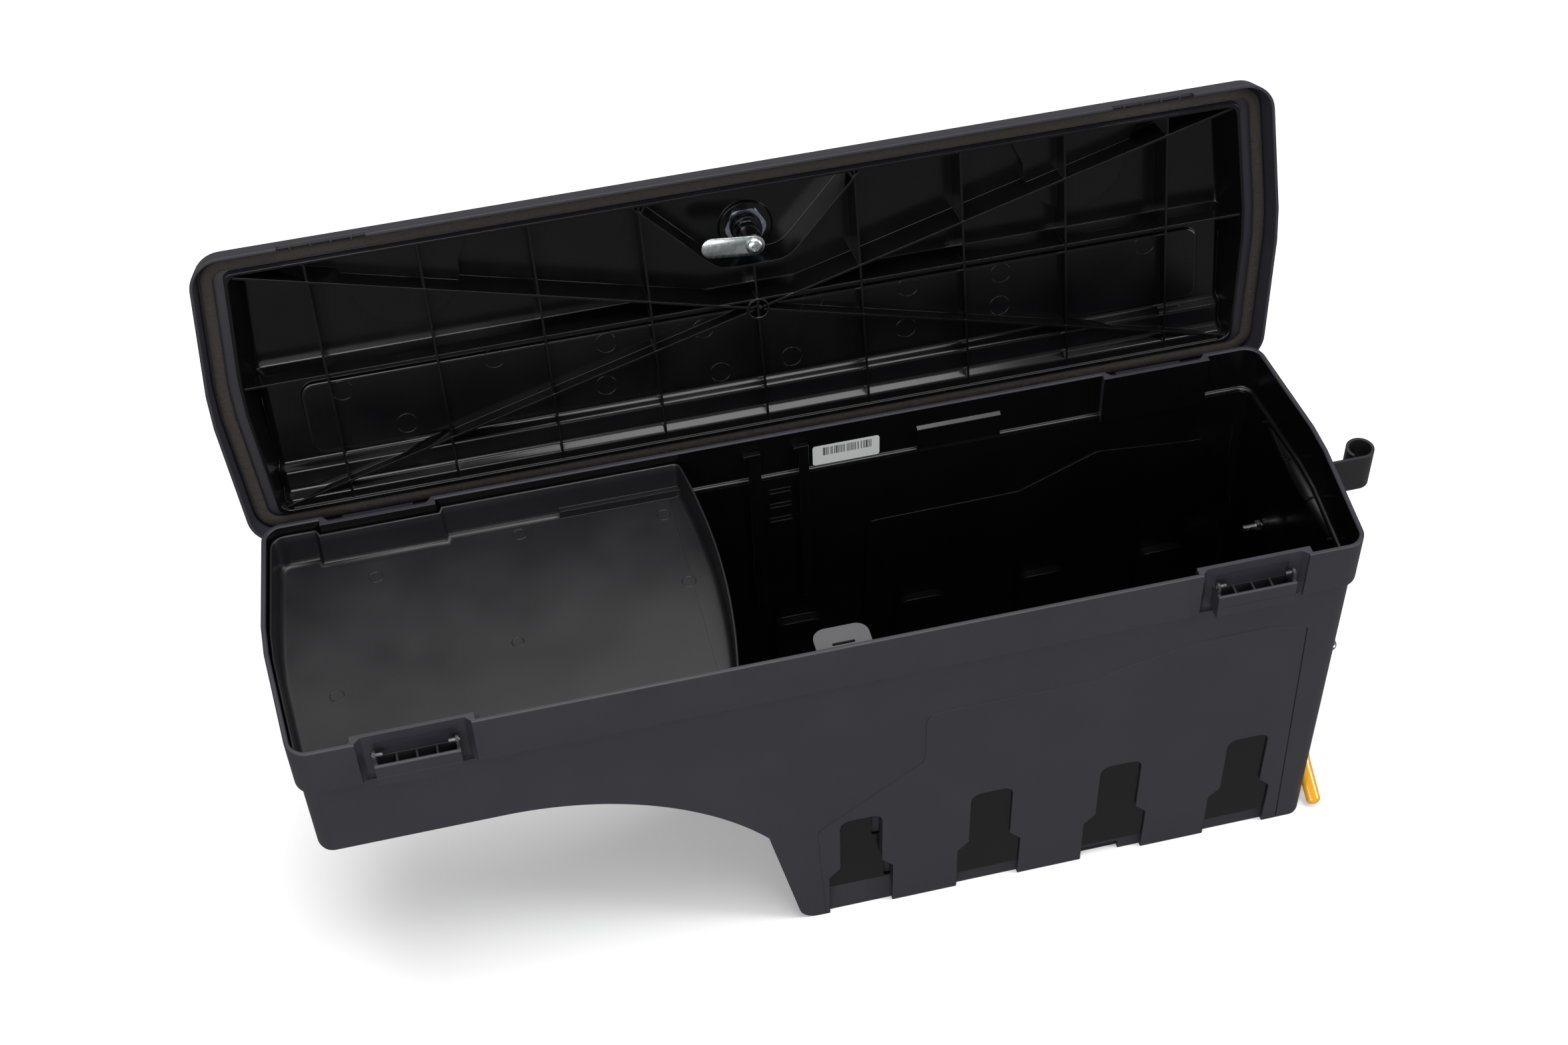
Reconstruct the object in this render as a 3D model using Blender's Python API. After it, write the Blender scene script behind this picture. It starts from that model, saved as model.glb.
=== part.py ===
"""Swing-out wheel-well storage box for a pickup bed: a deep moulded tub with a wheel-arch
cut-away, a ribbed lid on two rear hinges, a key-operated cam lock, a lift-out tray, an upper
pivot bracket with a rolled eye and a lower bracket with a spring latch pin and release lever.

Frame: +X to the pivot end, -Y to the front, +Z up. The origin is on the underside of the foot,
below the middle of the rim. Everything is in metres. The lid stands open at rest.
"""

import math

import bmesh
import bpy
from mathutils import Matrix, Vector

# ---- tub, overall -------------------------------------------------------------------------
BOX_LENGTH = 1.000        # rim, from the middle of one bulged end to the other
BOX_WIDTH = 0.2788        # rim, front to back
BOX_HEIGHT = 0.4145       # underside of the foot to the top of the rim
END_BULGE = 0.0101        # how far the middle of an end stands out past its corners
END_FLAT = 0.0332         # width of the straight middle of an end
CORNER_R = 0.020
BEND_R = 0.030            # radius of the soft bends in an end wall
CORNER_STEPS = 4
RIM_WALL = 0.0046
SKIRT_DEPTH = 0.0545      # height of the rim band
SKIRT_STEP = 0.0045       # how far the lower wall is set in under the rim band
DRAFT = 0.0012            # taper of the lower wall over the full height
WALL = 0.0040
FLOOR = 0.0045
SHALLOW_DEPTH = 0.1448    # rim top to the underside over the wheel arch
ARCH_START_X = -0.319     # where the flat underside turns into the arch
ARCH_R = 0.303
FOOT_TOP_X = -0.0770      # where the arch meets the foot's left wall
FOOT_LEAN = 0.0310        # how far that wall leans inwards down to the floor
FOOT_CORNER_R = 0.020
ARCH_STEPS = 10
FIT_GAP = 0.0003          # gap between pieces that touch
BACK = 1.0
FRONT = -1.0
SLACK = 0.02              # how far a cutter runs past what it cuts

# ---- recesses along the bottom of the long walls -------------------------------------------
RECESS_COUNT = 4
RECESS_PITCH = 0.1317
RECESS_FIRST_X = 0.0140
RECESS_TOP = 0.1505       # height of the top of a recess
RECESS_SHOULDER = 0.0740  # height where the neck widens
RECESS_NECK = 0.0426
RECESS_BASE = 0.0655
RECESS_CORNER_R = 0.0100
RECESS_DEPTH = 0.0100
CHIN_HEIGHT = 0.0300      # below this height the back of a recess slopes out again
CHIN_DEPTH = 0.0040       # depth left at the underside
NOTCH_WIDTH = 0.0410      # gap in the chin of one front recess
NOTCH_HEIGHT = 0.0100

# ---- lid hinges ----------------------------------------------------------------------------
HINGE_X = 0.3825          # middle of each hinge pocket, left and right
POCKET_HALF = 0.0450      # half width of the pocket's flat back
POCKET_FLARE = 0.0054     # how much wider the pocket is at the face
POCKET_IN = 0.0076        # how far the pocket sets the rim wall in
POCKET_WALL = 0.0038
TROUGH_HALF = 0.0375
TROUGH_OUT = 0.0095       # how far the trough stands out past the rim band
TROUGH_TOP = 0.0235       # below the rim top
TROUGH_BOTTOM = 0.0500    # below the rim top
TROUGH_WALL = 0.0030
TROUGH_RIB = 0.0020
TROUGH_RIB_DROP = 0.0060  # inner ribs stop below the trough's top
AXIS_DROP = 0.0176        # hinge axis below the rim top
AXIS_OUT = 0.0004         # hinge axis outside the rim face
EAR_R = 0.0042
STUB_R = 0.0020
STUB_IN = 0.0060          # reach of a stub past the inside of its ear
STUB_OUT = 0.0012
BORE_GAP = 0.0003
ARM_END_GAP = 0.0010
KNUCKLE_R = 0.0050
LID_OPEN = math.radians(102.75)

# ---- lid -----------------------------------------------------------------------------------
LID_OVERHANG = 0.0108     # lid flange outside the rim
LID_DROP = 0.0120         # lid flange below the rim top when closed
LID_SKIRT = 0.0230        # height of the flange
LID_SKIRT_DRAFT = 0.0040
LID_WALL = 0.0030
DOME_SIDE = 0.0120        # raised middle of the lid, inside the rim face, long sides
DOME_END = 0.0190         # the same at the two ends
DOME_TOP = 0.0370         # above the rim top
DOME_DRAFT = 0.0040
LIP_LOW = 0.0004          # inner lip's edge, above the rim top
RIB_LOW = 0.0024          # lower edge of the ribs, above the rim top
RIB_WALL = 0.0022
CROSS_RIB_PITCH = 0.1005
CROSS_RIB_COUNT = 4       # on each side of the middle
LONG_RIB_Y = -0.0095
BOSS_R = 0.0110
CUP_X = 0.3180
CUP_Y = -0.0880
CUP_R = 0.0480
CUP_DEPTH = 0.0100
NOTCH_CLEARANCE = 0.0015
FLANGE_NOTCH = 0.0070     # depth of the flange's relief over a trough
GASKET_WIDTH = 0.0125
GASKET_THICK = 0.0075
GASKET_CENTRE = 0.0035    # middle of the seal, inside the rim face

# ---- lock ----------------------------------------------------------------------------------
LOCK_Y = -0.0720
LOCK_BODY_R = 0.0145
LOCK_NECK_R = 0.0100
LOCK_NECK_DROP = 0.0120   # underside of the lid's top down to where the body narrows
LOCK_CAP_R = 0.0185
LOCK_CAP_THICK = 0.0030
PLUG_R = 0.0070
NUT_ACROSS = 0.0365
NUT_THICK = 0.0045
CAM_WIDTH = 0.0200
CAM_REACH = 0.0495        # lock axis to the far end of the cam
CAM_THICK = 0.0022
CAM_GAP = 0.0008          # cam below the strike when locked
CAM_TILT = math.radians(5.8)
SCREW_HEAD_R = 0.0080
SCREW_HEAD_THICK = 0.0042
SCREW_R = 0.0022
WELL_WALL_Y = 0.0260      # lock axis to the far wall of the well
WELL_MOUTH = 0.1105       # half width of the well at the lip
WELL_BASE = 0.0330        # half width of the well's far wall
WELL_CORNER_R = 0.0300

# ---- strike and label ----------------------------------------------------------------------
STRIKE_WIDTH = 0.0510
STRIKE_REACH = 0.0250
STRIKE_DROP = 0.0040
STRIKE_THICK = 0.0026
STRIKE_LEG = 0.0300
STRIKE_SLOT = (0.0210, 0.0030)
LABEL_SIZE = (0.0670, 0.0254)
LABEL_X = 0.0695
LABEL_RISE = 0.0006       # label's lower edge above the inner ledge
LABEL_DROP = SKIRT_DEPTH - WALL - LABEL_RISE - LABEL_SIZE[1]
LABEL_THICK = 0.0003

# ---- tray ----------------------------------------------------------------------------------
TRAY_RIGHT_X = -0.0826
TRAY_BULGE = 0.0130
TRAY_BULGE_STEPS = 6
TRAY_TOP = 0.0100         # tray rim below the box rim
TRAY_WALL = 0.0024
TRAY_CLEARANCE = 0.0012
TRAY_DRAFT = 0.0010
TRAY_CORNER_R = 0.0080

# ---- brackets ------------------------------------------------------------------------------
PLATE_THICK = 0.0030
PIVOT_OUT = 0.0620        # axis on which the whole box swings, out from the middle of the rim's end
PIVOT_X = BOX_LENGTH / 2 + PIVOT_OUT
PIVOT_Y = 0.0300
EYE_R = 0.0140
EYE_HEIGHT = 0.0435
EYE_OPEN = math.radians(50.0)
EYE_STEPS = 16
STRAP_FLARE = 0.0260      # how much taller the strap is at its root
UPPER_PLATE_HALF = 0.0850
UPPER_PLATE_TOP = 0.0587  # below the rim top
UPPER_PLATE_LOW = 0.2050
UPPER_BOLT_Y = 0.0613
UPPER_BOLT_DROP = 0.1808
LOWER_PLATE_Y = (-0.0980, 0.1000)
LOWER_PLATE_Z = (0.0385, 0.1330)
LOWER_BOLT_Y = 0.0700
LOWER_BOLT_Z = 0.1050
BOLT_R = 0.0030
HEAD_ACROSS = 0.0100
HEAD_THICK = 0.0040
NUT_SMALL_THICK = 0.0050
BOLT_END = 0.0190         # length of bolt showing inside the tub
LUG_LOW = 0.0385
LUG_HIGH = 0.0800
LUG_HALF = 0.0120
LATCH_R = 0.0050
LATCH_LOW = 0.0340
LATCH_HIGH = 0.1480
LATCH_HEAD_R = 0.0085
LATCH_HEAD = 0.0040
COLLAR_R = 0.0125
COLLAR_THICK = 0.0040
SPRING_R = 0.0085
SPRING_WIRE = 0.0012
SPRING_TURNS = 3.5
LEVER_Y = -0.0200
LEVER_Z = 0.1145
LEVER_R = 0.0035
LEVER_SIDE = 0.0045       # gap from the bracket's face to the side of the lever's rod
LEVER_TIP = (BOX_LENGTH / 2 + 0.0001, -0.1300, 0.0085)
LEVER_BEND = (BOX_LENGTH / 2 - 0.0010, -0.0932, 0.0333)
GRIP_R = 0.0056
GRIP_DEEP = 1.35          # grip's depth over its width
TAB_OUT = 0.0220          # bearing tab's distance from the bracket's face


def clear_scene():
    for obj in list(bpy.data.objects):
        bpy.data.objects.remove(obj, do_unlink=True)


def material(name, colour, roughness, metallic=0.0):
    made = bpy.data.materials.new(name)
    made.use_nodes = True
    shader = made.node_tree.nodes["Principled BSDF"]
    shader.inputs["Base Color"].default_value = (*colour, 1.0)
    shader.inputs["Roughness"].default_value = roughness
    shader.inputs["Metallic"].default_value = metallic
    made.diffuse_color = (*colour, 1.0)
    return made


# ---- outlines ------------------------------------------------------------------------------
def inset(outline, distance):
    """Move each side of an outline towards its inside; one distance, or one for each side."""
    count = len(outline)
    each = distance if isinstance(distance, list) else [distance] * count
    area = sum(outline[i][0] * outline[(i + 1) % count][1] - outline[(i + 1) % count][0] * outline[i][1]
               for i in range(count))
    turn = 1.0 if area > 0 else -1.0
    sides = []
    for i in range(count):
        a = Vector(outline[i])
        along = (Vector(outline[(i + 1) % count]) - a).normalized()
        sides.append((a + Vector((-along.y, along.x)) * each[i] * turn, along))
    moved = []
    for i in range(count):
        a, s = sides[i - 1]
        b, t = sides[i]
        cross = s.x * t.y - s.y * t.x
        gap = b - a
        if abs(cross) < 1e-9:
            moved.append(tuple(b))
        else:
            moved.append(tuple(a + s * ((gap.x * t.y - gap.y * t.x) / cross)))
    return moved


def rounded(outline, radii, steps):
    """Replace each corner by an arc of its own radius; a radius of 0 keeps the corner."""
    count = len(outline)
    points = []
    for i, radius in enumerate(radii):
        corner = Vector(outline[i])
        if radius <= 0.0:
            points.append(tuple(corner))
            continue
        before = (Vector(outline[i - 1]) - corner).normalized()
        after = (Vector(outline[(i + 1) % count]) - corner).normalized()
        half = before.angle(after) / 2.0
        centre = corner + (before + after).normalized() * (radius / math.sin(half))
        start = corner + before * (radius / math.tan(half)) - centre
        end = corner + after * (radius / math.tan(half)) - centre
        sweep = start.angle_signed(end)
        for k in range(steps + 1):
            turned = start.copy()
            turned.rotate(Matrix.Rotation(-sweep * k / steps, 2))
            points.append(tuple(centre + turned))
    return points


def sharp_rim():
    """Plan of the box with sharp corners: long sides, and ends bent out to a flat middle."""
    corner_x = BOX_LENGTH / 2 - END_BULGE
    half = BOX_WIDTH / 2
    return [(-corner_x, -half), (corner_x, -half), (BOX_LENGTH / 2, -END_FLAT / 2),
            (BOX_LENGTH / 2, END_FLAT / 2), (corner_x, half), (-corner_x, half),
            (-BOX_LENGTH / 2, END_FLAT / 2), (-BOX_LENGTH / 2, -END_FLAT / 2)]


def rim_outline(distance=0.0, end=None):
    """Plan of the box, inset by distance (the ends by end), with corners and bends rounded."""
    ends = distance if end is None else end
    each = [distance, ends, ends, ends, distance, ends, ends, ends]
    corner = max(CORNER_R - distance, 0.004)
    radii = [corner, corner, BEND_R, BEND_R, corner, corner, BEND_R, BEND_R]
    return rounded(inset(sharp_rim(), each), radii, CORNER_STEPS)


def end_x(y, distance=0.0):
    """X of the +X end face at y, on the outline inset by distance."""
    half = BOX_WIDTH / 2
    slope = END_BULGE / (half - END_FLAT / 2)
    beyond = max(abs(y) - END_FLAT / 2, 0.0)
    return BOX_LENGTH / 2 - beyond * slope - distance


def side_outline(distance):
    """Lengthwise profile below the rim: shallow end, wheel arch, foot; inset by distance."""
    top = BOX_HEIGHT + SLACK
    shallow = BOX_HEIGHT - SHALLOW_DEPTH
    end = BOX_LENGTH / 2 - SKIRT_STEP
    centre = Vector((ARCH_START_X, shallow - ARCH_R))
    last = math.asin((FOOT_TOP_X - ARCH_START_X) / ARCH_R)
    radius = ARCH_R + distance
    arch = []
    for k in range(ARCH_STEPS + 1):
        angle = last * k / ARCH_STEPS
        arch.append((centre.x + radius * math.sin(angle), centre.y + radius * math.cos(angle)))
    foot_top = centre.y + ARCH_R * math.cos(last)
    lean = FOOT_LEAN * (foot_top - distance) / foot_top
    sharp = [(-end + distance, top), (-end + distance, shallow + distance)]
    radii = [0.0, FOOT_CORNER_R - distance]
    sharp += arch
    radii += [0.0] * len(arch)
    sharp += [(arch[-1][0] + lean, distance), (end - distance, distance), (end - distance, top)]
    radii += [FOOT_CORNER_R - distance, FOOT_CORNER_R - distance, 0.0]
    return rounded(sharp, radii, CORNER_STEPS)


# ---- solids --------------------------------------------------------------------------------
def obj_from(bm, name, mat=None):
    bmesh.ops.recalc_face_normals(bm, faces=bm.faces)
    mesh = bpy.data.meshes.new(name)
    bm.to_mesh(mesh)
    bm.free()
    if mat:
        mesh.materials.append(mat)
    obj = bpy.data.objects.new(name, mesh)
    bpy.context.scene.collection.objects.link(obj)
    return obj


def loft(sections, name="tool", mat=None):
    """Closed solid through rings of 3-D points, capped at both ends."""
    bm = bmesh.new()
    rings = [[bm.verts.new(p) for p in ring] for ring in sections]
    count = len(rings[0])
    for low, high in zip(rings, rings[1:]):
        for i in range(count):
            bm.faces.new((low[i], low[(i + 1) % count], high[(i + 1) % count], high[i]))
    bm.faces.new(list(reversed(rings[0])))
    bm.faces.new(rings[-1])
    return obj_from(bm, name, mat)


def slab(outline, low, high, name="tool", mat=None):
    """Plan outline stood up from low to high along Z."""
    return loft([[(x, y, z) for x, y in outline] for z in (low, high)], name, mat)


def slab_y(outline, low, high, name="tool", mat=None):
    """X-Z outline run from low to high along Y."""
    return loft([[(x, y, z) for x, z in outline] for y in (low, high)], name, mat)


def slab_x(outline, low, high, name="tool", mat=None):
    """Y-Z outline run from low to high along X."""
    return loft([[(x, y, z) for y, z in outline] for x in (low, high)], name, mat)


def box(x, y, z, name="tool", mat=None):
    """Block between the low and high ends of x, y and z."""
    return slab([(x[0], y[0]), (x[1], y[0]), (x[1], y[1]), (x[0], y[1])], z[0], z[1], name, mat)


def circle(radius, count, centre=(0.0, 0.0)):
    return [(centre[0] + radius * math.cos(2 * math.pi * k / count),
             centre[1] + radius * math.sin(2 * math.pi * k / count)) for k in range(count)]


def hexagon(across, centre=(0.0, 0.0)):
    return circle(across / math.sqrt(3.0), 6, centre)


def combine(obj, tool, operation):
    """Apply one exact Boolean and throw the tool away."""
    modifier = obj.modifiers.new("combine", "BOOLEAN")
    modifier.operation = operation
    modifier.solver = "EXACT"
    modifier.object = tool
    graph = bpy.context.evaluated_depsgraph_get()
    mesh = bpy.data.meshes.new_from_object(obj.evaluated_get(graph))
    obj.modifiers.remove(modifier)
    old = obj.data
    obj.data = mesh
    mesh.name = obj.name
    bpy.data.meshes.remove(old)
    used = tool.data
    bpy.data.objects.remove(tool, do_unlink=True)
    bpy.data.meshes.remove(used)
    return obj


def cut(obj, tool):
    return combine(obj, tool, "DIFFERENCE")


def add(obj, tool):
    return combine(obj, tool, "UNION")


def keep(obj, tool):
    return combine(obj, tool, "INTERSECT")


def smooth(obj, degrees=35.0):
    obj.data.shade_smooth()
    obj.data.set_sharp_from_angle(angle=math.radians(degrees))


def empty(name, place, parent=None):
    """Joint marker; pieces hang on it with meshes measured from the joint's axis."""
    marker = bpy.data.objects.new(name, None)
    bpy.context.scene.collection.objects.link(marker)
    marker.location = Vector(place)
    if parent:
        marker.parent = parent
    return marker


def hang(obj, marker, place):
    """Measure a piece from place and parent it to the marker that stands there."""
    obj.data.transform(Matrix.Translation(-Vector(place)))
    obj.parent = marker


def tube(points, radius, steps, name="tool", mat=None, deep=1.0):
    """Round or oval bar along a polyline, with mitred joints."""
    path = [Vector(p) for p in points]
    rings = []
    side = None
    for i, at in enumerate(path):
        before = (at - path[i - 1]).normalized() if i else None
        after = (path[i + 1] - at).normalized() if i + 1 < len(path) else None
        ahead = ((before or after) + (after or before)).normalized()
        if side is None:
            seed = Vector((0, 0, 1)) if abs(ahead.z) < 0.9 else Vector((1, 0, 0))
            side = ahead.cross(seed).normalized()
        side = (side - ahead * side.dot(ahead)).normalized()
        up = ahead.cross(side)
        stretch = 1.0
        if before and after:
            stretch = 1.0 / max(math.cos(before.angle(after) / 2), 0.5)
        bend = (after - before) if before and after else Vector((0, 0, 0))
        bend = bend.normalized() if bend.length > 1e-6 else None
        ring = []
        for k in range(steps):
            angle = 2 * math.pi * k / steps
            out = (side * math.cos(angle) + up * math.sin(angle) * deep) * radius
            if bend:
                out += bend * out.dot(bend) * (stretch - 1.0)
            ring.append(tuple(at + out))
        rings.append(ring)
    return loft(rings, name, mat)


# ---- tub -----------------------------------------------------------------------------------
def recess_outline(centre_x, low, extra=0.0):
    """Bottle shape in X-Z: a narrow neck with rounded top corners on a wider base."""
    neck = RECESS_NECK / 2 + extra
    base = RECESS_BASE / 2 + extra
    slope = (RECESS_BASE - RECESS_NECK) * 0.55
    top = RECESS_TOP + extra
    sharp = [(centre_x - base, low), (centre_x + base, low),
             (centre_x + base, RECESS_SHOULDER - slope), (centre_x + neck, RECESS_SHOULDER),
             (centre_x + neck, top), (centre_x - neck, top),
             (centre_x - neck, RECESS_SHOULDER), (centre_x - base, RECESS_SHOULDER - slope)]
    return rounded(sharp, [0, 0, 0, 0, RECESS_CORNER_R, RECESS_CORNER_R, 0, 0], 3)


def side_span(side, low, high):
    """Y range from low to high measured outwards on the front or the back."""
    return tuple(sorted((side * low, side * high)))


def add_trough(tub, x, side):
    """Trough with eared ends, inner ribs and an open mouth, for one hinge."""
    face = BOX_WIDTH / 2
    low = BOX_HEIGHT - TROUGH_BOTTOM
    high = BOX_HEIGHT - TROUGH_TOP
    back = face - POCKET_IN
    out = face + TROUGH_OUT
    add(tub, box((x - TROUGH_HALF, x + TROUGH_HALF), side_span(side, back - 0.002, out), (low, high)))
    axis_y = side * (face + AXIS_OUT)
    axis_z = BOX_HEIGHT - AXIS_DROP
    inner = TROUGH_HALF - TROUGH_WALL
    for end in (-1, 1):
        xs = sorted((x + end * inner, x + end * TROUGH_HALF))
        top = [(axis_y + EAR_R * math.cos(math.pi * k / 6), axis_z + EAR_R * math.sin(math.pi * k / 6))
               for k in range(7)]
        ear = [(axis_y + EAR_R, high - 0.004)] + top + [(axis_y - EAR_R, high - 0.004)]
        add(tub, slab_x(ear, xs[0] + 0.0002, xs[1] - 0.0002))
        bore = circle(STUB_R + BORE_GAP, 10, (axis_y, axis_z))
        cut(tub, slab_x(bore, xs[0] - 0.001, xs[1] + 0.001))
    cut(tub, box((x - inner, x + inner), side_span(side, back - 0.0006, out - TROUGH_WALL),
                 (high - TROUGH_RIB_DROP, high + TROUGH_TOP - AXIS_DROP + EAR_R + 0.002)))
    span = inner - 0.0003
    width = (2 * span - 3 * TROUGH_RIB) / 4
    for k in range(4):
        start = x - span + k * (width + TROUGH_RIB)
        cut(tub, box((start, start + width), side_span(side, back - 0.0003, out - TROUGH_WALL - 0.0003),
                     (low + TROUGH_WALL, high - TROUGH_RIB_DROP + 0.001)))


def pocket_block(x, side):
    """Wall left standing inside the tub round one hinge pocket."""
    face = BOX_WIDTH / 2
    half = POCKET_HALF + POCKET_FLARE + POCKET_WALL
    return box((x - half, x + half), side_span(side, face - POCKET_IN - POCKET_WALL, face + SLACK),
               (BOX_HEIGHT - SKIRT_DEPTH - WALL, BOX_HEIGHT + SLACK * 2))


def cut_pocket(tub, x, side):
    """Set the rim band in around one hinge."""
    face = BOX_WIDTH / 2
    low = BOX_HEIGHT - SKIRT_DEPTH
    wide = POCKET_HALF + POCKET_FLARE
    sharp = [(x - wide, side * (face + SLACK)), (x - wide, side * (face - POCKET_IN * 0.3)),
             (x - POCKET_HALF, side * (face - POCKET_IN)), (x + POCKET_HALF, side * (face - POCKET_IN)),
             (x + wide, side * (face - POCKET_IN * 0.3)), (x + wide, side * (face + SLACK))]
    shape = rounded(sharp, [0, 0.002, 0.003, 0.003, 0.002, 0], 2)
    cut(tub, slab(shape, low - 0.001, BOX_HEIGHT + SLACK))


def add_recesses(tub):
    """Bottle-shaped recesses in both long walls, each backed by a bulge into the tub."""
    face = BOX_WIDTH / 2 - SKIRT_STEP - DRAFT
    for side in (FRONT, BACK):
        for k in range(RECESS_COUNT):
            x = RECESS_FIRST_X + k * RECESS_PITCH
            ys = side_span(side, face - RECESS_DEPTH - WALL, face - WALL / 2)
            add(tub, slab_y(recess_outline(x, FLOOR / 2, WALL), ys[0], ys[1]))
            ys = side_span(side, face - RECESS_DEPTH, face + SLACK)
            cut(tub, slab_y(recess_outline(x, CHIN_HEIGHT), ys[0], ys[1]))
            base = RECESS_BASE / 2 - 0.0003
            chin = [(side * (face - RECESS_DEPTH + 0.0003), CHIN_HEIGHT + 0.0005),
                    (side * (face + SLACK), CHIN_HEIGHT + 0.0005), (side * (face + SLACK), -0.001),
                    (side * (face - CHIN_DEPTH), -0.001)]
            cut(tub, slab_x(chin, x - base, x + base))
    x = RECESS_FIRST_X + 2 * RECESS_PITCH - RECESS_BASE / 2 + 0.001
    cut(tub, box((x, x + NOTCH_WIDTH), (-face - SLACK, -face + RECESS_DEPTH * 0.9), (-SLACK, NOTCH_HEIGHT)))


def bolt_places():
    """Y and Z of the four bracket bolts through the pivot end wall."""
    upper_z = BOX_HEIGHT - UPPER_BOLT_DROP
    return {"upper_front": (-UPPER_BOLT_Y, upper_z), "upper_back": (UPPER_BOLT_Y, upper_z),
            "lower_front": (-LOWER_BOLT_Y, LOWER_BOLT_Z), "lower_back": (LOWER_BOLT_Y, LOWER_BOLT_Z)}


def make_tub(mat):
    high = BOX_HEIGHT
    tub = slab_y(side_outline(0.0), -BOX_WIDTH, BOX_WIDTH, "tub", mat)
    keep(tub, loft([[(x, y, z) for x, y in rim_outline(SKIRT_STEP + extra)]
                    for z, extra in ((-0.001, DRAFT), (high - SKIRT_DEPTH / 2, 0.0))]))
    add(tub, slab(rim_outline(), high - SKIRT_DEPTH, high))
    cavity = slab_y(side_outline(FLOOR), -BOX_WIDTH, BOX_WIDTH)
    keep(cavity, loft([[(x, y, z) for x, y in rim_outline(SKIRT_STEP + WALL + extra)]
                       for z, extra in ((0.0, DRAFT), (high + SLACK / 2, 0.0))]))
    ledge = high - SKIRT_DEPTH + WALL
    add(cavity, slab(rim_outline(RIM_WALL), ledge, high + SLACK))
    hinges = [(x, side) for side in (FRONT, BACK) for x in (-HINGE_X, HINGE_X)]
    for x, side in hinges:
        cut(cavity, pocket_block(x, side))
    cut(tub, cavity)
    for x, side in hinges:
        cut_pocket(tub, x, side)
        add_trough(tub, x, side)
    add_recesses(tub)
    for y, z in bolt_places().values():
        hole = circle(BOLT_R + BORE_GAP, 10, (y, z))
        cut(tub, slab_x(hole, end_x(y) - 0.03, end_x(y) + 0.01))
    smooth(tub)
    return tub


def make_strike(mat):
    """Tongue under the rim for the cam, with a slot and a leg down the wall."""
    wall = -(BOX_WIDTH / 2 - RIM_WALL - FIT_GAP)
    top = BOX_HEIGHT - STRIKE_DROP
    half = STRIKE_WIDTH / 2
    sharp = [(-half, wall), (half, wall), (half, wall + STRIKE_REACH), (-half, wall + STRIKE_REACH)]
    shape = rounded(sharp, [0, 0, 0.010, 0.010], 4)
    strike = slab(shape, top - STRIKE_THICK, top, "strike_tab", mat)
    leg = half - 0.003
    add(strike, box((-leg, leg), (wall + 0.0002, wall + STRIKE_THICK), (top - STRIKE_LEG, top - STRIKE_THICK / 2)))
    long_side, short_side = STRIKE_SLOT
    start = wall + STRIKE_THICK + 0.001
    cut(strike, box((-long_side / 2, long_side / 2), (start, start + short_side), (top - SLACK, top + SLACK)))
    smooth(strike)
    return strike


def make_label(mat):
    wall = BOX_WIDTH / 2 - RIM_WALL - FIT_GAP
    top = BOX_HEIGHT - LABEL_DROP
    half = LABEL_SIZE[0] / 2
    sharp = [(LABEL_X - half, top - LABEL_SIZE[1]), (LABEL_X + half, top - LABEL_SIZE[1]),
             (LABEL_X + half, top), (LABEL_X - half, top)]
    shape = rounded(sharp, [0.003] * 4, 3)
    return slab_y(shape, wall - LABEL_THICK, wall, "label", mat)


def make_stub(name, x, side, end, mat):
    """Steel hinge stub through one ear, domed on the outside."""
    axis_y = side * (BOX_WIDTH / 2 + AXIS_OUT)
    axis_z = BOX_HEIGHT - AXIS_DROP
    start = x + end * (TROUGH_HALF - TROUGH_WALL - STUB_IN)
    finish = x + end * (TROUGH_HALF + STUB_OUT * 0.4)
    tip = x + end * (TROUGH_HALF + STUB_OUT)
    rings = []
    for at, radius in ((start, STUB_R), (finish, STUB_R), (tip, STUB_R * 0.55)):
        rings.append([(at, y, z) for y, z in circle(radius, 10, (axis_y, axis_z))])
    stub = loft(rings, name, mat)
    smooth(stub, 50)
    return stub


# ---- lid -----------------------------------------------------------------------------------
def lid_ring(z, distance, end_distance=None):
    return [(x, y, z) for x, y in rim_outline(distance, end=end_distance)]


def cup_outline(x, extra=0.0):
    """Half-round cup open to the front, with flared sides."""
    radius = CUP_R + extra
    front = -(BOX_WIDTH / 2 - DOME_SIDE - DOME_DRAFT * 0.3)
    arc = [(x + radius * math.cos(math.pi * k / 10), CUP_Y + radius * math.sin(math.pi * k / 10))
           for k in range(11)]
    return [(x + radius * 1.30, front)] + [(x + radius, CUP_Y - 0.010)] + arc + [
        (x - radius, CUP_Y - 0.010), (x - radius * 1.30, front)]


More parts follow.
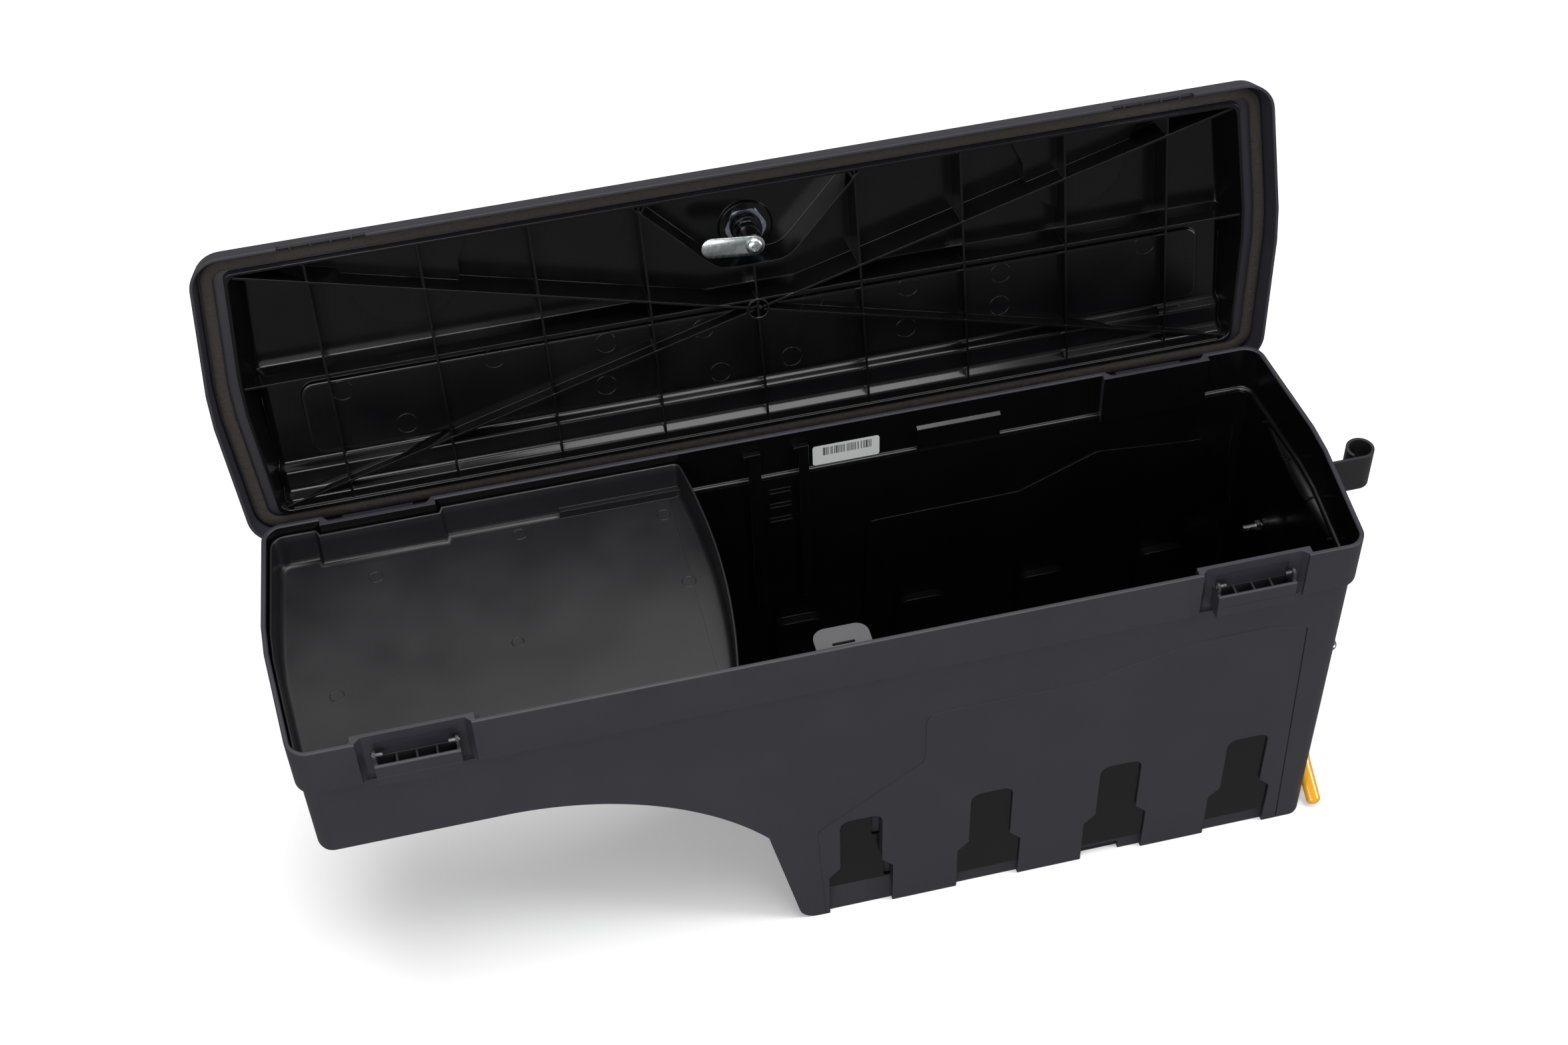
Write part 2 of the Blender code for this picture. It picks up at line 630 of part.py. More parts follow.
def add_ribs(lid):
    """Ribs across and along the lid, diagonals from a central boss, and the lock well."""
    low = BOX_HEIGHT + RIB_LOW
    high = BOX_HEIGHT + DOME_TOP - LID_WALL / 2
    half_y = BOX_WIDTH / 2 - DOME_SIDE - LID_WALL / 2
    half_x = BOX_LENGTH / 2 - END_BULGE - DOME_END - LID_WALL / 2
    long_half = BOX_LENGTH / 2 - DOME_END - LID_WALL / 2

    def rib(ax, ay, bx, by):
        across = Vector((ay - by, bx - ax)).normalized() * (RIB_WALL / 2)
        a = Vector((ax, ay))
        b = Vector((bx, by))
        add(lid, slab([tuple(a - across), tuple(b - across), tuple(b + across), tuple(a + across)],
                      low, high))

    for k in range(1, CROSS_RIB_COUNT + 1):
        for sign in (-1, 1):
            rib(sign * k * CROSS_RIB_PITCH, -half_y, sign * k * CROSS_RIB_PITCH, half_y)
    rib(-long_half, LONG_RIB_Y, long_half, LONG_RIB_Y)
    for sx in (-1, 1):
        for sy in (-1, 1):
            rib(sx * BOSS_R / 2, sy * BOSS_R / 8, sx * (half_x - 0.006), sy * (half_y - 0.006))
    rib(0.0, LOCK_Y + WELL_WALL_Y, 0.0, half_y)
    add(lid, slab(circle(BOSS_R, 16), low - 0.0012, high))
    cut(lid, slab(circle(BOSS_R - RIB_WALL, 16), low - SLACK, BOX_HEIGHT + DOME_TOP - LID_WALL * 2))
    base_y = LOCK_Y + WELL_WALL_Y
    mouth_y = -half_y - LID_WALL * 0.3
    well = [(-WELL_MOUTH, mouth_y), (WELL_MOUTH, mouth_y), (WELL_BASE, base_y), (-WELL_BASE, base_y)]
    radii = [0, 0, WELL_CORNER_R, WELL_CORNER_R]
    add(lid, slab(rounded(well, radii, 4), low - 0.0006, high))
    inner = inset(well, RIB_WALL)
    inner[0] = (inner[0][0], -half_y + LID_WALL / 2 - 0.0004)
    inner[1] = (inner[1][0], -half_y + LID_WALL / 2 - 0.0004)
    cut(lid, slab(rounded(inner, radii, 4), low - SLACK, BOX_HEIGHT + DOME_TOP - LID_WALL))


def add_arm(lid, x):
    """Goose-necked hinge arm with a knuckle round the hinge axis."""
    axis_y = BOX_WIDTH / 2 + AXIS_OUT
    axis_z = BOX_HEIGHT - AXIS_DROP
    shelf = BOX_HEIGHT - LID_DROP + LID_SKIRT - LID_WALL / 2
    flange = BOX_WIDTH / 2 + LID_OVERHANG - LID_WALL - LID_SKIRT_DRAFT
    seal = BOX_WIDTH / 2 - GASKET_CENTRE + GASKET_WIDTH / 2 + FIT_GAP * 2
    half = TROUGH_HALF - TROUGH_WALL - ARM_END_GAP
    bend = BOX_HEIGHT - 0.0050
    profile = [(axis_y - 0.0025, axis_z), (axis_y + 0.0012, axis_z), (axis_y + 0.0012, bend),
               (flange + LID_WALL / 2, bend + 0.0020), (flange + LID_WALL / 2, shelf), (seal, shelf),
               (seal, bend + 0.0045), (axis_y - 0.0025, bend + 0.0020)]
    add(lid, slab_x(profile, x - half, x + half))
    knuckle = slab_x(circle(KNUCKLE_R, 16, (axis_y, axis_z)), x - half - 0.0004, x + half + 0.0004)
    add(lid, knuckle)
    for end in (-1, 1):
        mouth = x + end * (half + 0.001)
        depth = x + end * (half - STUB_IN - 0.001)
        xs = sorted((mouth, depth))
        cut(lid, slab_x(circle(STUB_R + BORE_GAP, 10, (axis_y, axis_z)), xs[0], xs[1]))


def make_lid(mat):
    """Lid in its closed place: flange, shelf over the rim, raised dome, ribs and lock bore."""
    top = BOX_HEIGHT
    low = top - LID_DROP
    shelf = low + LID_SKIRT
    dome = top + DOME_TOP
    lid = loft([lid_ring(low, -LID_OVERHANG), lid_ring(shelf, -LID_OVERHANG + LID_SKIRT_DRAFT)], "lid", mat)
    add(lid, loft([lid_ring(shelf - 0.001, DOME_SIDE, DOME_END),
                   lid_ring(dome, DOME_SIDE + DOME_DRAFT, DOME_END + DOME_DRAFT)]))
    inner_shelf = shelf - LID_WALL
    cut(lid, loft([lid_ring(low - SLACK / 2, -LID_OVERHANG + LID_WALL),
                   lid_ring(inner_shelf, -LID_OVERHANG + LID_WALL + LID_SKIRT_DRAFT)]))
    add(lid, slab(rim_outline(DOME_SIDE, end=DOME_END), top + LIP_LOW, inner_shelf + LID_WALL / 2))
    cut(lid, loft([lid_ring(top - SLACK, DOME_SIDE + LID_WALL, DOME_END + LID_WALL),
                   lid_ring(dome - LID_WALL, DOME_SIDE + LID_WALL + DOME_DRAFT,
                            DOME_END + LID_WALL + DOME_DRAFT)]))
    add_ribs(lid)
    for sign in (-1, 1):
        add(lid, slab(cup_outline(sign * CUP_X, LID_WALL), dome - CUP_DEPTH - LID_WALL + 0.0001,
                      dome - LID_WALL / 2 - 0.0001))
        cut(lid, slab(cup_outline(sign * CUP_X), dome - CUP_DEPTH, dome + SLACK))
    face = BOX_WIDTH / 2
    half = TROUGH_HALF + NOTCH_CLEARANCE
    for side in (FRONT, BACK):
        for x in (-HINGE_X, HINGE_X):
            ys = side_span(side, face + LID_OVERHANG - LID_WALL - LID_SKIRT_DRAFT - 0.001,
                           face + LID_OVERHANG + SLACK)
            cut(lid, box((x - half, x + half), ys, (low - SLACK, low + FLANGE_NOTCH)))
    for x in (-HINGE_X, HINGE_X):
        add_arm(lid, x)
    cut(lid, slab(circle(LOCK_BODY_R + BORE_GAP, 16, (0.0, LOCK_Y)), dome - 0.008, dome + SLACK))
    smooth(lid)
    return lid


def make_gasket(mat):
    """Foam seal in the channel over the rim, just above it when the lid is closed."""
    high = BOX_HEIGHT - LID_DROP + LID_SKIRT - LID_WALL - FIT_GAP
    low = high - GASKET_THICK
    gasket = slab(rim_outline(GASKET_CENTRE - GASKET_WIDTH / 2), low, high, "gasket", mat)
    cut(gasket, slab(rim_outline(GASKET_CENTRE + GASKET_WIDTH / 2), low - SLACK, high + SLACK))
    smooth(gasket)
    return gasket


# ---- lock ----------------------------------------------------------------------------------
def cam_top():
    return BOX_HEIGHT - STRIKE_DROP - STRIKE_THICK - CAM_GAP


def make_lock(plastic, steel, zinc):
    """Barrel and nut stay with the lid; plug, cam and screw turn."""
    dome = BOX_HEIGHT + DOME_TOP
    under = dome - LID_WALL
    spot = (0.0, LOCK_Y)
    neck_low = cam_top() + FIT_GAP
    barrel = slab(circle(LOCK_CAP_R, 24, spot), dome + FIT_GAP, dome + LOCK_CAP_THICK, "lock_barrel", plastic)
    add(barrel, slab(circle(LOCK_BODY_R, 20, spot), under - LOCK_NECK_DROP, dome + FIT_GAP * 2))
    add(barrel, slab(circle(LOCK_NECK_R, 20, spot), neck_low, under - LOCK_NECK_DROP / 2))
    cut(barrel, slab(circle(PLUG_R + FIT_GAP, 16, spot), neck_low - SLACK, dome + SLACK))
    smooth(barrel)
    nut = slab(hexagon(NUT_ACROSS, spot), under - FIT_GAP - NUT_THICK, under - FIT_GAP, "lock_nut", steel)
    cut(nut, slab(circle(LOCK_BODY_R + FIT_GAP, 20, spot), under - SLACK * 2, dome))
    smooth(nut)
    plug = slab(circle(PLUG_R, 16, spot), neck_low - FIT_GAP + FIT_GAP * 0.5, dome + LOCK_CAP_THICK - 0.0004,
                "lock_plug", steel)
    square = PLUG_R * 0.62
    add(plug, box((-square, square), (LOCK_Y - square, LOCK_Y + square),
                  (cam_top() - CAM_THICK + FIT_GAP, neck_low + 0.001)))
    key_z = dome + LOCK_CAP_THICK
    cut(plug, box((-0.0006, 0.0006), (LOCK_Y - 0.0038, LOCK_Y + 0.0038), (key_z - 0.012, key_z + 0.001)))
    hole_low = cam_top() - CAM_THICK
    cut(plug, slab(circle(SCREW_R + FIT_GAP, 8, spot), hole_low - 0.001, hole_low + 0.009))
    smooth(plug)
    half = CAM_WIDTH / 2
    length = CAM_REACH - half
    ring = []
    for k in range(9):
        angle = math.pi / 2 + math.pi * k / 8
        ring.append((-length + half * math.cos(angle), half * math.sin(angle)))
    for k in range(9):
        angle = -math.pi / 2 + math.pi * k / 8
        ring.append((half * math.cos(angle), half * math.sin(angle)))
    turn = Matrix.Rotation(CAM_TILT, 2)
    ring = [tuple(turn @ Vector(p) + Vector(spot)) for p in ring]
    cam = slab(ring, cam_top() - CAM_THICK, cam_top(), "cam", zinc)
    hole = square + FIT_GAP
    cut(cam, box((-hole, hole), (LOCK_Y - hole, LOCK_Y + hole),
                 (cam_top() - CAM_THICK - 0.001, cam_top() + 0.001)))
    smooth(cam)
    seat = cam_top() - CAM_THICK - FIT_GAP
    screw = loft([[(x, y, z) for x, y in circle(radius, 16, spot)]
                  for z, radius in ((seat, SCREW_HEAD_R), (seat - SCREW_HEAD_THICK * 0.45, SCREW_HEAD_R),
                                    (seat - SCREW_HEAD_THICK, SCREW_HEAD_R * 0.45))], "cam_screw", zinc)
    add(screw, slab(circle(SCREW_R, 8, spot), seat - 0.001, seat + 0.008))
    low = seat - SCREW_HEAD_THICK
    for size in ((0.0032, 0.0008), (0.0008, 0.0032)):
        cut(screw, box((-size[0], size[0]), (LOCK_Y - size[1], LOCK_Y + size[1]),
                       (low - 0.001, low + 0.0018)))
    smooth(screw)
    return barrel, nut, plug, cam, screw


# ---- tray ----------------------------------------------------------------------------------
def tray_outline(distance, steps=3):
    """Plan of the tray: follows the shallow end of the tub, steps in past the hinge blocks."""
    end = inset(sharp_rim(), RIM_WALL + TRAY_CLEARANCE)
    y = BOX_WIDTH / 2 - RIM_WALL - TRAY_CLEARANCE
    y_in = BOX_WIDTH / 2 - POCKET_IN - POCKET_WALL - TRAY_CLEARANCE
    near = -HINGE_X + POCKET_HALF + POCKET_FLARE + POCKET_WALL + TRAY_CLEARANCE
    far = -HINGE_X - POCKET_HALF - POCKET_FLARE - POCKET_WALL - TRAY_CLEARANCE
    ramp = 0.003
    arc = []
    for k in range(TRAY_BULGE_STEPS + 1):
        at = -y + 2 * y * k / TRAY_BULGE_STEPS
        arc.append((TRAY_RIGHT_X - TRAY_BULGE * (at / y) ** 2, at))
    sharp = arc + [(near + ramp, y), (near, y_in), (far, y_in), (far - ramp, y),
                   end[5], end[6], end[7], end[0],
                   (far - ramp, -y), (far, -y_in), (near, -y_in), (near + ramp, -y)]
    corner = TRAY_CORNER_R - distance
    outer = CORNER_R - RIM_WALL - distance
    radii = [corner] + [0] * (TRAY_BULGE_STEPS - 1)
    radii += [corner, 0, 0, 0, 0, outer, BEND_R, BEND_R, outer, 0, 0, 0, 0]
    return rounded(inset(sharp, distance), radii, steps)


def make_tray(mat):
    ledge = BOX_HEIGHT - SKIRT_DEPTH + WALL
    low = ledge + FIT_GAP
    high = BOX_HEIGHT - TRAY_TOP
    tray = loft([[(x, y, low) for x, y in tray_outline(TRAY_DRAFT)],
                 [(x, y, high) for x, y in tray_outline(0.0)]], "tray", mat)
    cut(tray, loft([[(x, y, low + TRAY_WALL) for x, y in tray_outline(TRAY_DRAFT + TRAY_WALL)],
                    [(x, y, high + 0.002) for x, y in tray_outline(TRAY_WALL)]]))
    smooth(tray)
    return tray


# ---- brackets ------------------------------------------------------------------------------
def plate_outline(low_y, high_y, out):
    """Plan of a plate that follows the pivot end wall, out from its face."""
    edges = [low_y, -END_FLAT / 2, END_FLAT / 2, high_y]
    outer = [(end_x(y, SKIRT_STEP) + out + PLATE_THICK, y) for y in edges]
    inner = [(end_x(y, SKIRT_STEP) + out, y) for y in reversed(edges)]
    return outer + inner


def plate_face():
    """X of the middle of a bracket plate's outer face."""
    return end_x(0.0, SKIRT_STEP) + FIT_GAP + PLATE_THICK


def make_upper_bracket(mat):
    """Base plate, strap and rolled eye round the pivot axis."""
    top = BOX_HEIGHT - UPPER_PLATE_TOP
    low = BOX_HEIGHT - UPPER_PLATE_LOW
    plan = plate_outline(-UPPER_PLATE_HALF, UPPER_PLATE_HALF, FIT_GAP)
    bracket = slab(plan, low, top, "upper_bracket", mat)
    near = PIVOT_Y - EYE_R
    root = plate_face() - PLATE_THICK / 2
    eye_low = top - EYE_HEIGHT
    side = [(root, eye_low - STRAP_FLARE), (plate_face() + 0.008, eye_low - STRAP_FLARE * 0.72),
            (plate_face() + 0.026, eye_low - STRAP_FLARE * 0.10), (PIVOT_X - 0.016, eye_low),
            (PIVOT_X, eye_low), (PIVOT_X, top), (root, top)]
    add(bracket, slab_y(side, near, near + PLATE_THICK))
    start = -math.pi / 2 - 0.02
    sweep = 2 * math.pi - EYE_OPEN
    outer = []
    inner = []
    for k in range(EYE_STEPS + 1):
        angle = start + sweep * k / EYE_STEPS
        outer.append((PIVOT_X + EYE_R * math.cos(angle), PIVOT_Y + EYE_R * math.sin(angle)))
        small = EYE_R - PLATE_THICK
        inner.append((PIVOT_X + small * math.cos(angle), PIVOT_Y + small * math.sin(angle)))
    add(bracket, slab(outer + list(reversed(inner)), eye_low, top))
    for key in ("upper_front", "upper_back"):
        y, z = bolt_places()[key]
        cut(bracket, slab_x(circle(BOLT_R + BORE_GAP, 10, (y, z)), end_x(y) - 0.01, end_x(y) + 0.01))
    smooth(bracket)
    return bracket


def make_lower_bracket(mat):
    """Base plate with two lugs for the latch pin and a tab for the lever."""
    low, high = LOWER_PLATE_Z
    plan = plate_outline(LOWER_PLATE_Y[0], LOWER_PLATE_Y[1], FIT_GAP)
    bracket = slab(plan, low, high, "lower_bracket", mat)
    root = plate_face() - PLATE_THICK / 2
    tip = PIVOT_X + LUG_HALF * 0.9
    for z, start_y in ((LUG_LOW, PIVOT_Y - LUG_HALF), (LUG_HIGH, LEVER_Y - LUG_HALF)):
        near = plate_face() + TAB_OUT + PLATE_THICK
        sharp = [(root, start_y), (near, start_y), (tip, PIVOT_Y - LUG_HALF),
                 (tip, PIVOT_Y + LUG_HALF), (root, PIVOT_Y + LUG_HALF)]
        if start_y == PIVOT_Y - LUG_HALF:
            sharp.pop(1)
            radii = [0, 0.008, 0.008, 0]
        else:
            radii = [0, 0, 0.008, 0.008, 0]
        add(bracket, slab(rounded(sharp, radii, 3), z, z + PLATE_THICK))
        cut(bracket, slab(circle(LATCH_R + BORE_GAP, 14, (PIVOT_X, PIVOT_Y)), z - 0.001, z + PLATE_THICK + 0.001))
    tab = plate_face() + TAB_OUT
    add(bracket, box((tab, tab + PLATE_THICK), (LEVER_Y - LUG_HALF + 0.0002, LEVER_Y + LUG_HALF),
                     (LUG_HIGH + PLATE_THICK / 2, LEVER_Z + LUG_HALF * 0.8)))
    bore = circle(LEVER_R + BORE_GAP, 12, (LEVER_Y, LEVER_Z))
    cut(bracket, slab_x(bore, tab - 0.001, tab + PLATE_THICK + 0.001))
    for key in ("lower_front", "lower_back"):
        y, z = bolt_places()[key]
        cut(bracket, slab_x(circle(BOLT_R + BORE_GAP, 10, (y, z)), end_x(y) - 0.02, end_x(y) + 0.01))
    smooth(bracket)
    return bracket


def make_bolt(key, mat):
    """Hex bolt from outside and a nut inside, through the bracket and the end wall."""
    y, z = bolt_places()[key]
    face = end_x(y, SKIRT_STEP) + FIT_GAP + PLATE_THICK
    seat = face + FIT_GAP + 0.0006
    inside = end_x(y, SKIRT_STEP + WALL + DRAFT)
    bolt = slab_x(hexagon(HEAD_ACROSS, (y, z)), seat, seat + HEAD_THICK, "bolt_" + key, mat)
    add(bolt, slab_x(circle(BOLT_R, 10, (y, z)), inside - BOLT_END, seat + 0.001))
    smooth(bolt)
    nut_high = inside - FIT_GAP - 0.0006
    nut = slab_x(hexagon(HEAD_ACROSS, (y, z)), nut_high - NUT_SMALL_THICK, nut_high, "nut_" + key, mat)
    cut(nut, slab_x(circle(BOLT_R + BORE_GAP, 10, (y, z)), inside - BOLT_END, inside + 0.01))
    smooth(nut)
    return bolt, nut


# ---- latch ---------------------------------------------------------------------------------
def collar_top():
    return LEVER_Z - LEVER_R - FIT_GAP


def make_latch_pin(mat):
    spot = (PIVOT_X, PIVOT_Y)
    pin = slab(circle(LATCH_R, 14, spot), LATCH_LOW, LATCH_HIGH - 0.004, "latch_pin", mat)
    add(pin, loft([[(x, y, z) for x, y in circle(radius, 14, spot)]
                   for z, radius in ((LATCH_HIGH - 0.0045, LATCH_R), (LATCH_HIGH, LATCH_R * 0.5))]))
    head = LUG_LOW - FIT_GAP
    add(pin, slab(circle(LATCH_HEAD_R, 14, spot), head - LATCH_HEAD, head))
    add(pin, slab(circle(COLLAR_R, 18, spot), collar_top() - COLLAR_THICK, collar_top()))
    smooth(pin)
    return pin


def make_spring(mat):
    """Compression spring between the upper lug and the collar."""
    low = LUG_HIGH + PLATE_THICK + FIT_GAP + SPRING_WIRE
    high = collar_top() - COLLAR_THICK - FIT_GAP - SPRING_WIRE
    steps = int(SPRING_TURNS * 10)
    path = []
    for k in range(steps + 1):
        angle = 2 * math.pi * SPRING_TURNS * k / steps
        path.append((PIVOT_X + SPRING_R * math.cos(angle), PIVOT_Y + SPRING_R * math.sin(angle),
                     low + (high - low) * k / steps))
    spring = tube(path, SPRING_WIRE, 6, "latch_spring", mat)
    smooth(spring, 60)
    return spring


def make_lever(mat, grip_mat):
    """Bent rod: arm over the collar, shaft through the tab, leg down to the grip."""
    side = plate_face() + LEVER_SIDE + LEVER_R
    arm_x = PIVOT_X - LATCH_R - LEVER_R - 0.0010
    bend = 0.006
    path = [(arm_x, PIVOT_Y + 0.008, LEVER_Z), (arm_x, LEVER_Y + bend, LEVER_Z),
            (arm_x - bend * 0.3, LEVER_Y + bend * 0.3, LEVER_Z), (arm_x - bend, LEVER_Y, LEVER_Z),
            (side + bend, LEVER_Y, LEVER_Z), (side + bend * 0.3, LEVER_Y - bend * 0.25, LEVER_Z - bend * 0.2),
            (side, LEVER_Y - bend * 0.8, LEVER_Z - bend), LEVER_BEND]
    ahead = (Vector(LEVER_TIP) - Vector(LEVER_BEND)).normalized()
    path.append(tuple(Vector(LEVER_TIP) - ahead * 0.004))
    rod = tube(path, LEVER_R, 10, "release_lever", mat)
    smooth(rod, 50)
    top = Vector(path[-2]) + (Vector(path[-3]) - Vector(path[-2])).normalized() * 0.020
    sleeve = [tuple(top), path[-2], path[-1], tuple(Vector(LEVER_TIP))]
    grip = tube(sleeve, GRIP_R, 12, "lever_grip", grip_mat, GRIP_DEEP)
    cut(grip, tube(path, LEVER_R + FIT_GAP, 10))
    smooth(grip, 50)
    return rod, grip


def main():
    clear_scene()
    plastic = material("black_plastic", (0.055, 0.055, 0.060), 0.42)
    tray_mat = material("textured_plastic", (0.045, 0.045, 0.050), 0.60)
    foam = material("foam_rubber", (0.045, 0.040, 0.036), 0.90)
    steel = material("coated_steel", (0.060, 0.058, 0.056), 0.45, 0.6)
    zinc = material("zinc_plated", (0.62, 0.66, 0.68), 0.30, 1.0)
    grey = material("cast_grey", (0.16, 0.16, 0.165), 0.60, 0.3)
    yellow = material("yellow_vinyl", (0.72, 0.40, 0.01), 0.25)
    paper = material("label_paper", (0.60, 0.62, 0.61), 0.50)

    make_tub(plastic)
    make_strike(grey)
    make_label(paper)
    for side, row in ((FRONT, "front"), (BACK, "back")):
        for place, where in ((-HINGE_X, "left"), (HINGE_X, "right")):
            for end, tag in ((-1, "a"), (1, "b")):
                make_stub("stub_" + row + "_" + where + "_" + tag, place, side, end, zinc)
    make_upper_bracket(steel)
    make_lower_bracket(steel)
    for key in bolt_places():
        make_bolt(key, zinc)

    axis = (0.0, BOX_WIDTH / 2 + AXIS_OUT, BOX_HEIGHT - AXIS_DROP)
    hinge = empty("lid_axis", axis)
    lid = make_lid(plastic)
    gasket = make_gasket(foam)
    barrel, nut, plug, cam, screw = make_lock(plastic, zinc, zinc)
    for obj in (lid, gasket, barrel, nut):
        hang(obj, hinge, axis)
    lock_at = (0.0, LOCK_Y, cam_top())
    lock = empty("lock_axis", Vector(lock_at) - Vector(axis), hinge)
    for obj in (plug, cam, screw):
        hang(obj, lock, lock_at)
    hinge.rotation_euler = (-LID_OPEN, 0.0, 0.0)

    tray_at = (TRAY_RIGHT_X, 0.0, BOX_HEIGHT - SKIRT_DEPTH + WALL)
    hang(make_tray(tray_mat), empty("tray_guide", tray_at), tray_at)
    rod, grip = make_lever(zinc, yellow)
    lever_at = (plate_face(), LEVER_Y, LEVER_Z)
    lever = empty("lever_axis", lever_at)
    for obj in (rod, grip):
        hang(obj, lever, lever_at)
    latch_at = (PIVOT_X, PIVOT_Y, LUG_LOW)
    latch = empty("latch_guide", latch_at)
    hang(make_latch_pin(zinc), latch, latch_at)
    make_spring(zinc)


main()
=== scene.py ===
import math

import bmesh
import bpy
from mathutils import Matrix, Vector


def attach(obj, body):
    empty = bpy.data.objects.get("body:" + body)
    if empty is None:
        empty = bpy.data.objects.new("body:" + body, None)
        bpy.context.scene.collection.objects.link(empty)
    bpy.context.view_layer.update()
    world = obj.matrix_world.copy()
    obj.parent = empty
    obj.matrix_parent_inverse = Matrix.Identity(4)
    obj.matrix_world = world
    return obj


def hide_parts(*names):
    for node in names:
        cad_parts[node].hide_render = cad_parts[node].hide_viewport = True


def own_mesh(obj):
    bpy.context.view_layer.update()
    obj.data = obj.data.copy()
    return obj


# Swing-out storage box for a pickup bed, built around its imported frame.
# World: +X is the pivot end, -Y the front, +Z up, metres. The lid stands open at rest.

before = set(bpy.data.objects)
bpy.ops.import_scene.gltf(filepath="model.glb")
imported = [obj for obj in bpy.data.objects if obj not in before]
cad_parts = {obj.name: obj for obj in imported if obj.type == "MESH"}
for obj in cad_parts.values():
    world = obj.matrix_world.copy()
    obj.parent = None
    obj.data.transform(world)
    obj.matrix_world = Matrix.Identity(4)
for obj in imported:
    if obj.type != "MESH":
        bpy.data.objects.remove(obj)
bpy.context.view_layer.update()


# Colours and nodes.
def linear(hexColour):  # sRGB hex to linear RGBA
    made = []
    for shift in (16, 8, 0):
        value = ((hexColour >> shift) & 255) / 255
        made.append(value / 12.92 if value <= 0.04045 else ((value + 0.055) / 1.055) ** 2.4)
    return (*made, 1.0)


def addNode(tree, kind, values=None, links=None, **settings):  # one node with its settings and links
    made = tree.nodes.new(kind)
    for key, value in settings.items():
        setattr(made, key, value)
    for key, value in (values or {}).items():
        made.inputs[key].default_value = value
    for key, source in (links or {}).items():
        tree.links.new(source, made.inputs[key])
    return made


def newMaterial(name, values):  # a material with its principled shader set up
    made = bpy.data.materials.new(name)
    made.use_nodes = True
    tree = made.node_tree
    shader = tree.nodes["Principled BSDF"]
    for key, value in values.items():
        shader.inputs[key].default_value = value
    place = tree.nodes.new("ShaderNodeTexCoord").outputs["Object"]
    return made, tree, shader, place


# Materials. Sizes are per metre: a pattern of size s metres has a scale of about 1 / s.
grain = {
    "spark": 900.0,  # spark-eroded mould texture, 1.1 mm, coarser than real so that it shows
    "sparkDepth": 0.00006,
    "trayDepth": 0.00012,
    "flow": 14.0,  # slow gloss changes where the melt cooled unevenly
    "foamCell": 620.0,  # cell skin of the sponge
    "foamFold": 150.0,  # folds across the sponge, 6 mm
    "zincSpangle": 260.0,
    "edgeRound": 0.0007,  # moulded edge radius
}


def mouldedPlastic(name, colour, lighter, roughness, depth, specular=0.5):
    # Injection-moulded black polyolefin: a fine even grain from the tool, soft broad sheen.
    made, tree, shader, place = newMaterial(name, {"IOR": 1.49, "Specular IOR Level": specular})
    flow = addNode(tree, "ShaderNodeTexNoise", {"Scale": grain["flow"], "Detail": 3.0}, {"Vector": place})
    tint = addNode(tree, "ShaderNodeMix", {"A": linear(colour), "B": linear(lighter)},
                   data_type="RGBA")
    tree.links.new(flow.outputs["Fac"], tint.inputs["Factor"])
    tree.links.new(tint.outputs[2], shader.inputs["Base Color"])
    rough = addNode(tree, "ShaderNodeMapRange", {"From Min": 0.3, "From Max": 0.7,
                    "To Min": roughness - 0.05,
                    "To Max": roughness + 0.05}, {"Value": flow.outputs["Fac"]})
    tree.links.new(rough.outputs["Result"], shader.inputs["Roughness"])
    spark = addNode(tree, "ShaderNodeTexNoise", {"Scale": grain["spark"], "Detail": 2.0},
                    {"Vector": place})
    edge = addNode(tree, "ShaderNodeBevel", {"Radius": grain["edgeRound"]}, samples=4)
    bump = addNode(tree, "ShaderNodeBump", {"Strength": 0.6, "Distance": depth},
                   {"Height": spark.outputs["Fac"], "Normal": edge.outputs["Normal"]})
    tree.links.new(bump.outputs["Normal"], shader.inputs["Normal"])
    return made


def spongeRubber():
    # Extruded sponge seal: matt brown-black skin, fine cells and folds where it bends.
    made, tree, shader, place = newMaterial("spongeRubberSeal", {"IOR": 1.45, "Specular IOR Level": 0.3})
    cells = addNode(tree, "ShaderNodeTexNoise", {"Scale": grain["foamCell"], "Detail": 6.0},
                    {"Vector": place})
    folds = addNode(tree, "ShaderNodeTexNoise",
                    {"Scale": grain["foamFold"], "Detail": 4.0, "Distortion": 1.5},
                    {"Vector": place})
    tint = addNode(tree, "ShaderNodeMix", {"A": linear(0x100E0D), "B": linear(0x302B27)},
                   data_type="RGBA")
    tree.links.new(cells.outputs["Fac"], tint.inputs["Factor"])
    tree.links.new(tint.outputs[2], shader.inputs["Base Color"])
    rough = addNode(tree, "ShaderNodeMapRange", {"To Min": 0.75, "To Max": 0.95},
                    {"Value": cells.outputs["Fac"]})
    tree.links.new(rough.outputs["Result"], shader.inputs["Roughness"])
    low = addNode(tree, "ShaderNodeBump", {"Strength": 0.8, "Distance": 0.0010},
                  {"Height": folds.outputs["Fac"]})
    bump = addNode(tree, "ShaderNodeBump", {"Strength": 0.7, "Distance": 0.0005},
                   {"Height": cells.outputs["Fac"], "Normal": low.outputs["Normal"]})
    tree.links.new(bump.outputs["Normal"], shader.inputs["Normal"])
    return made


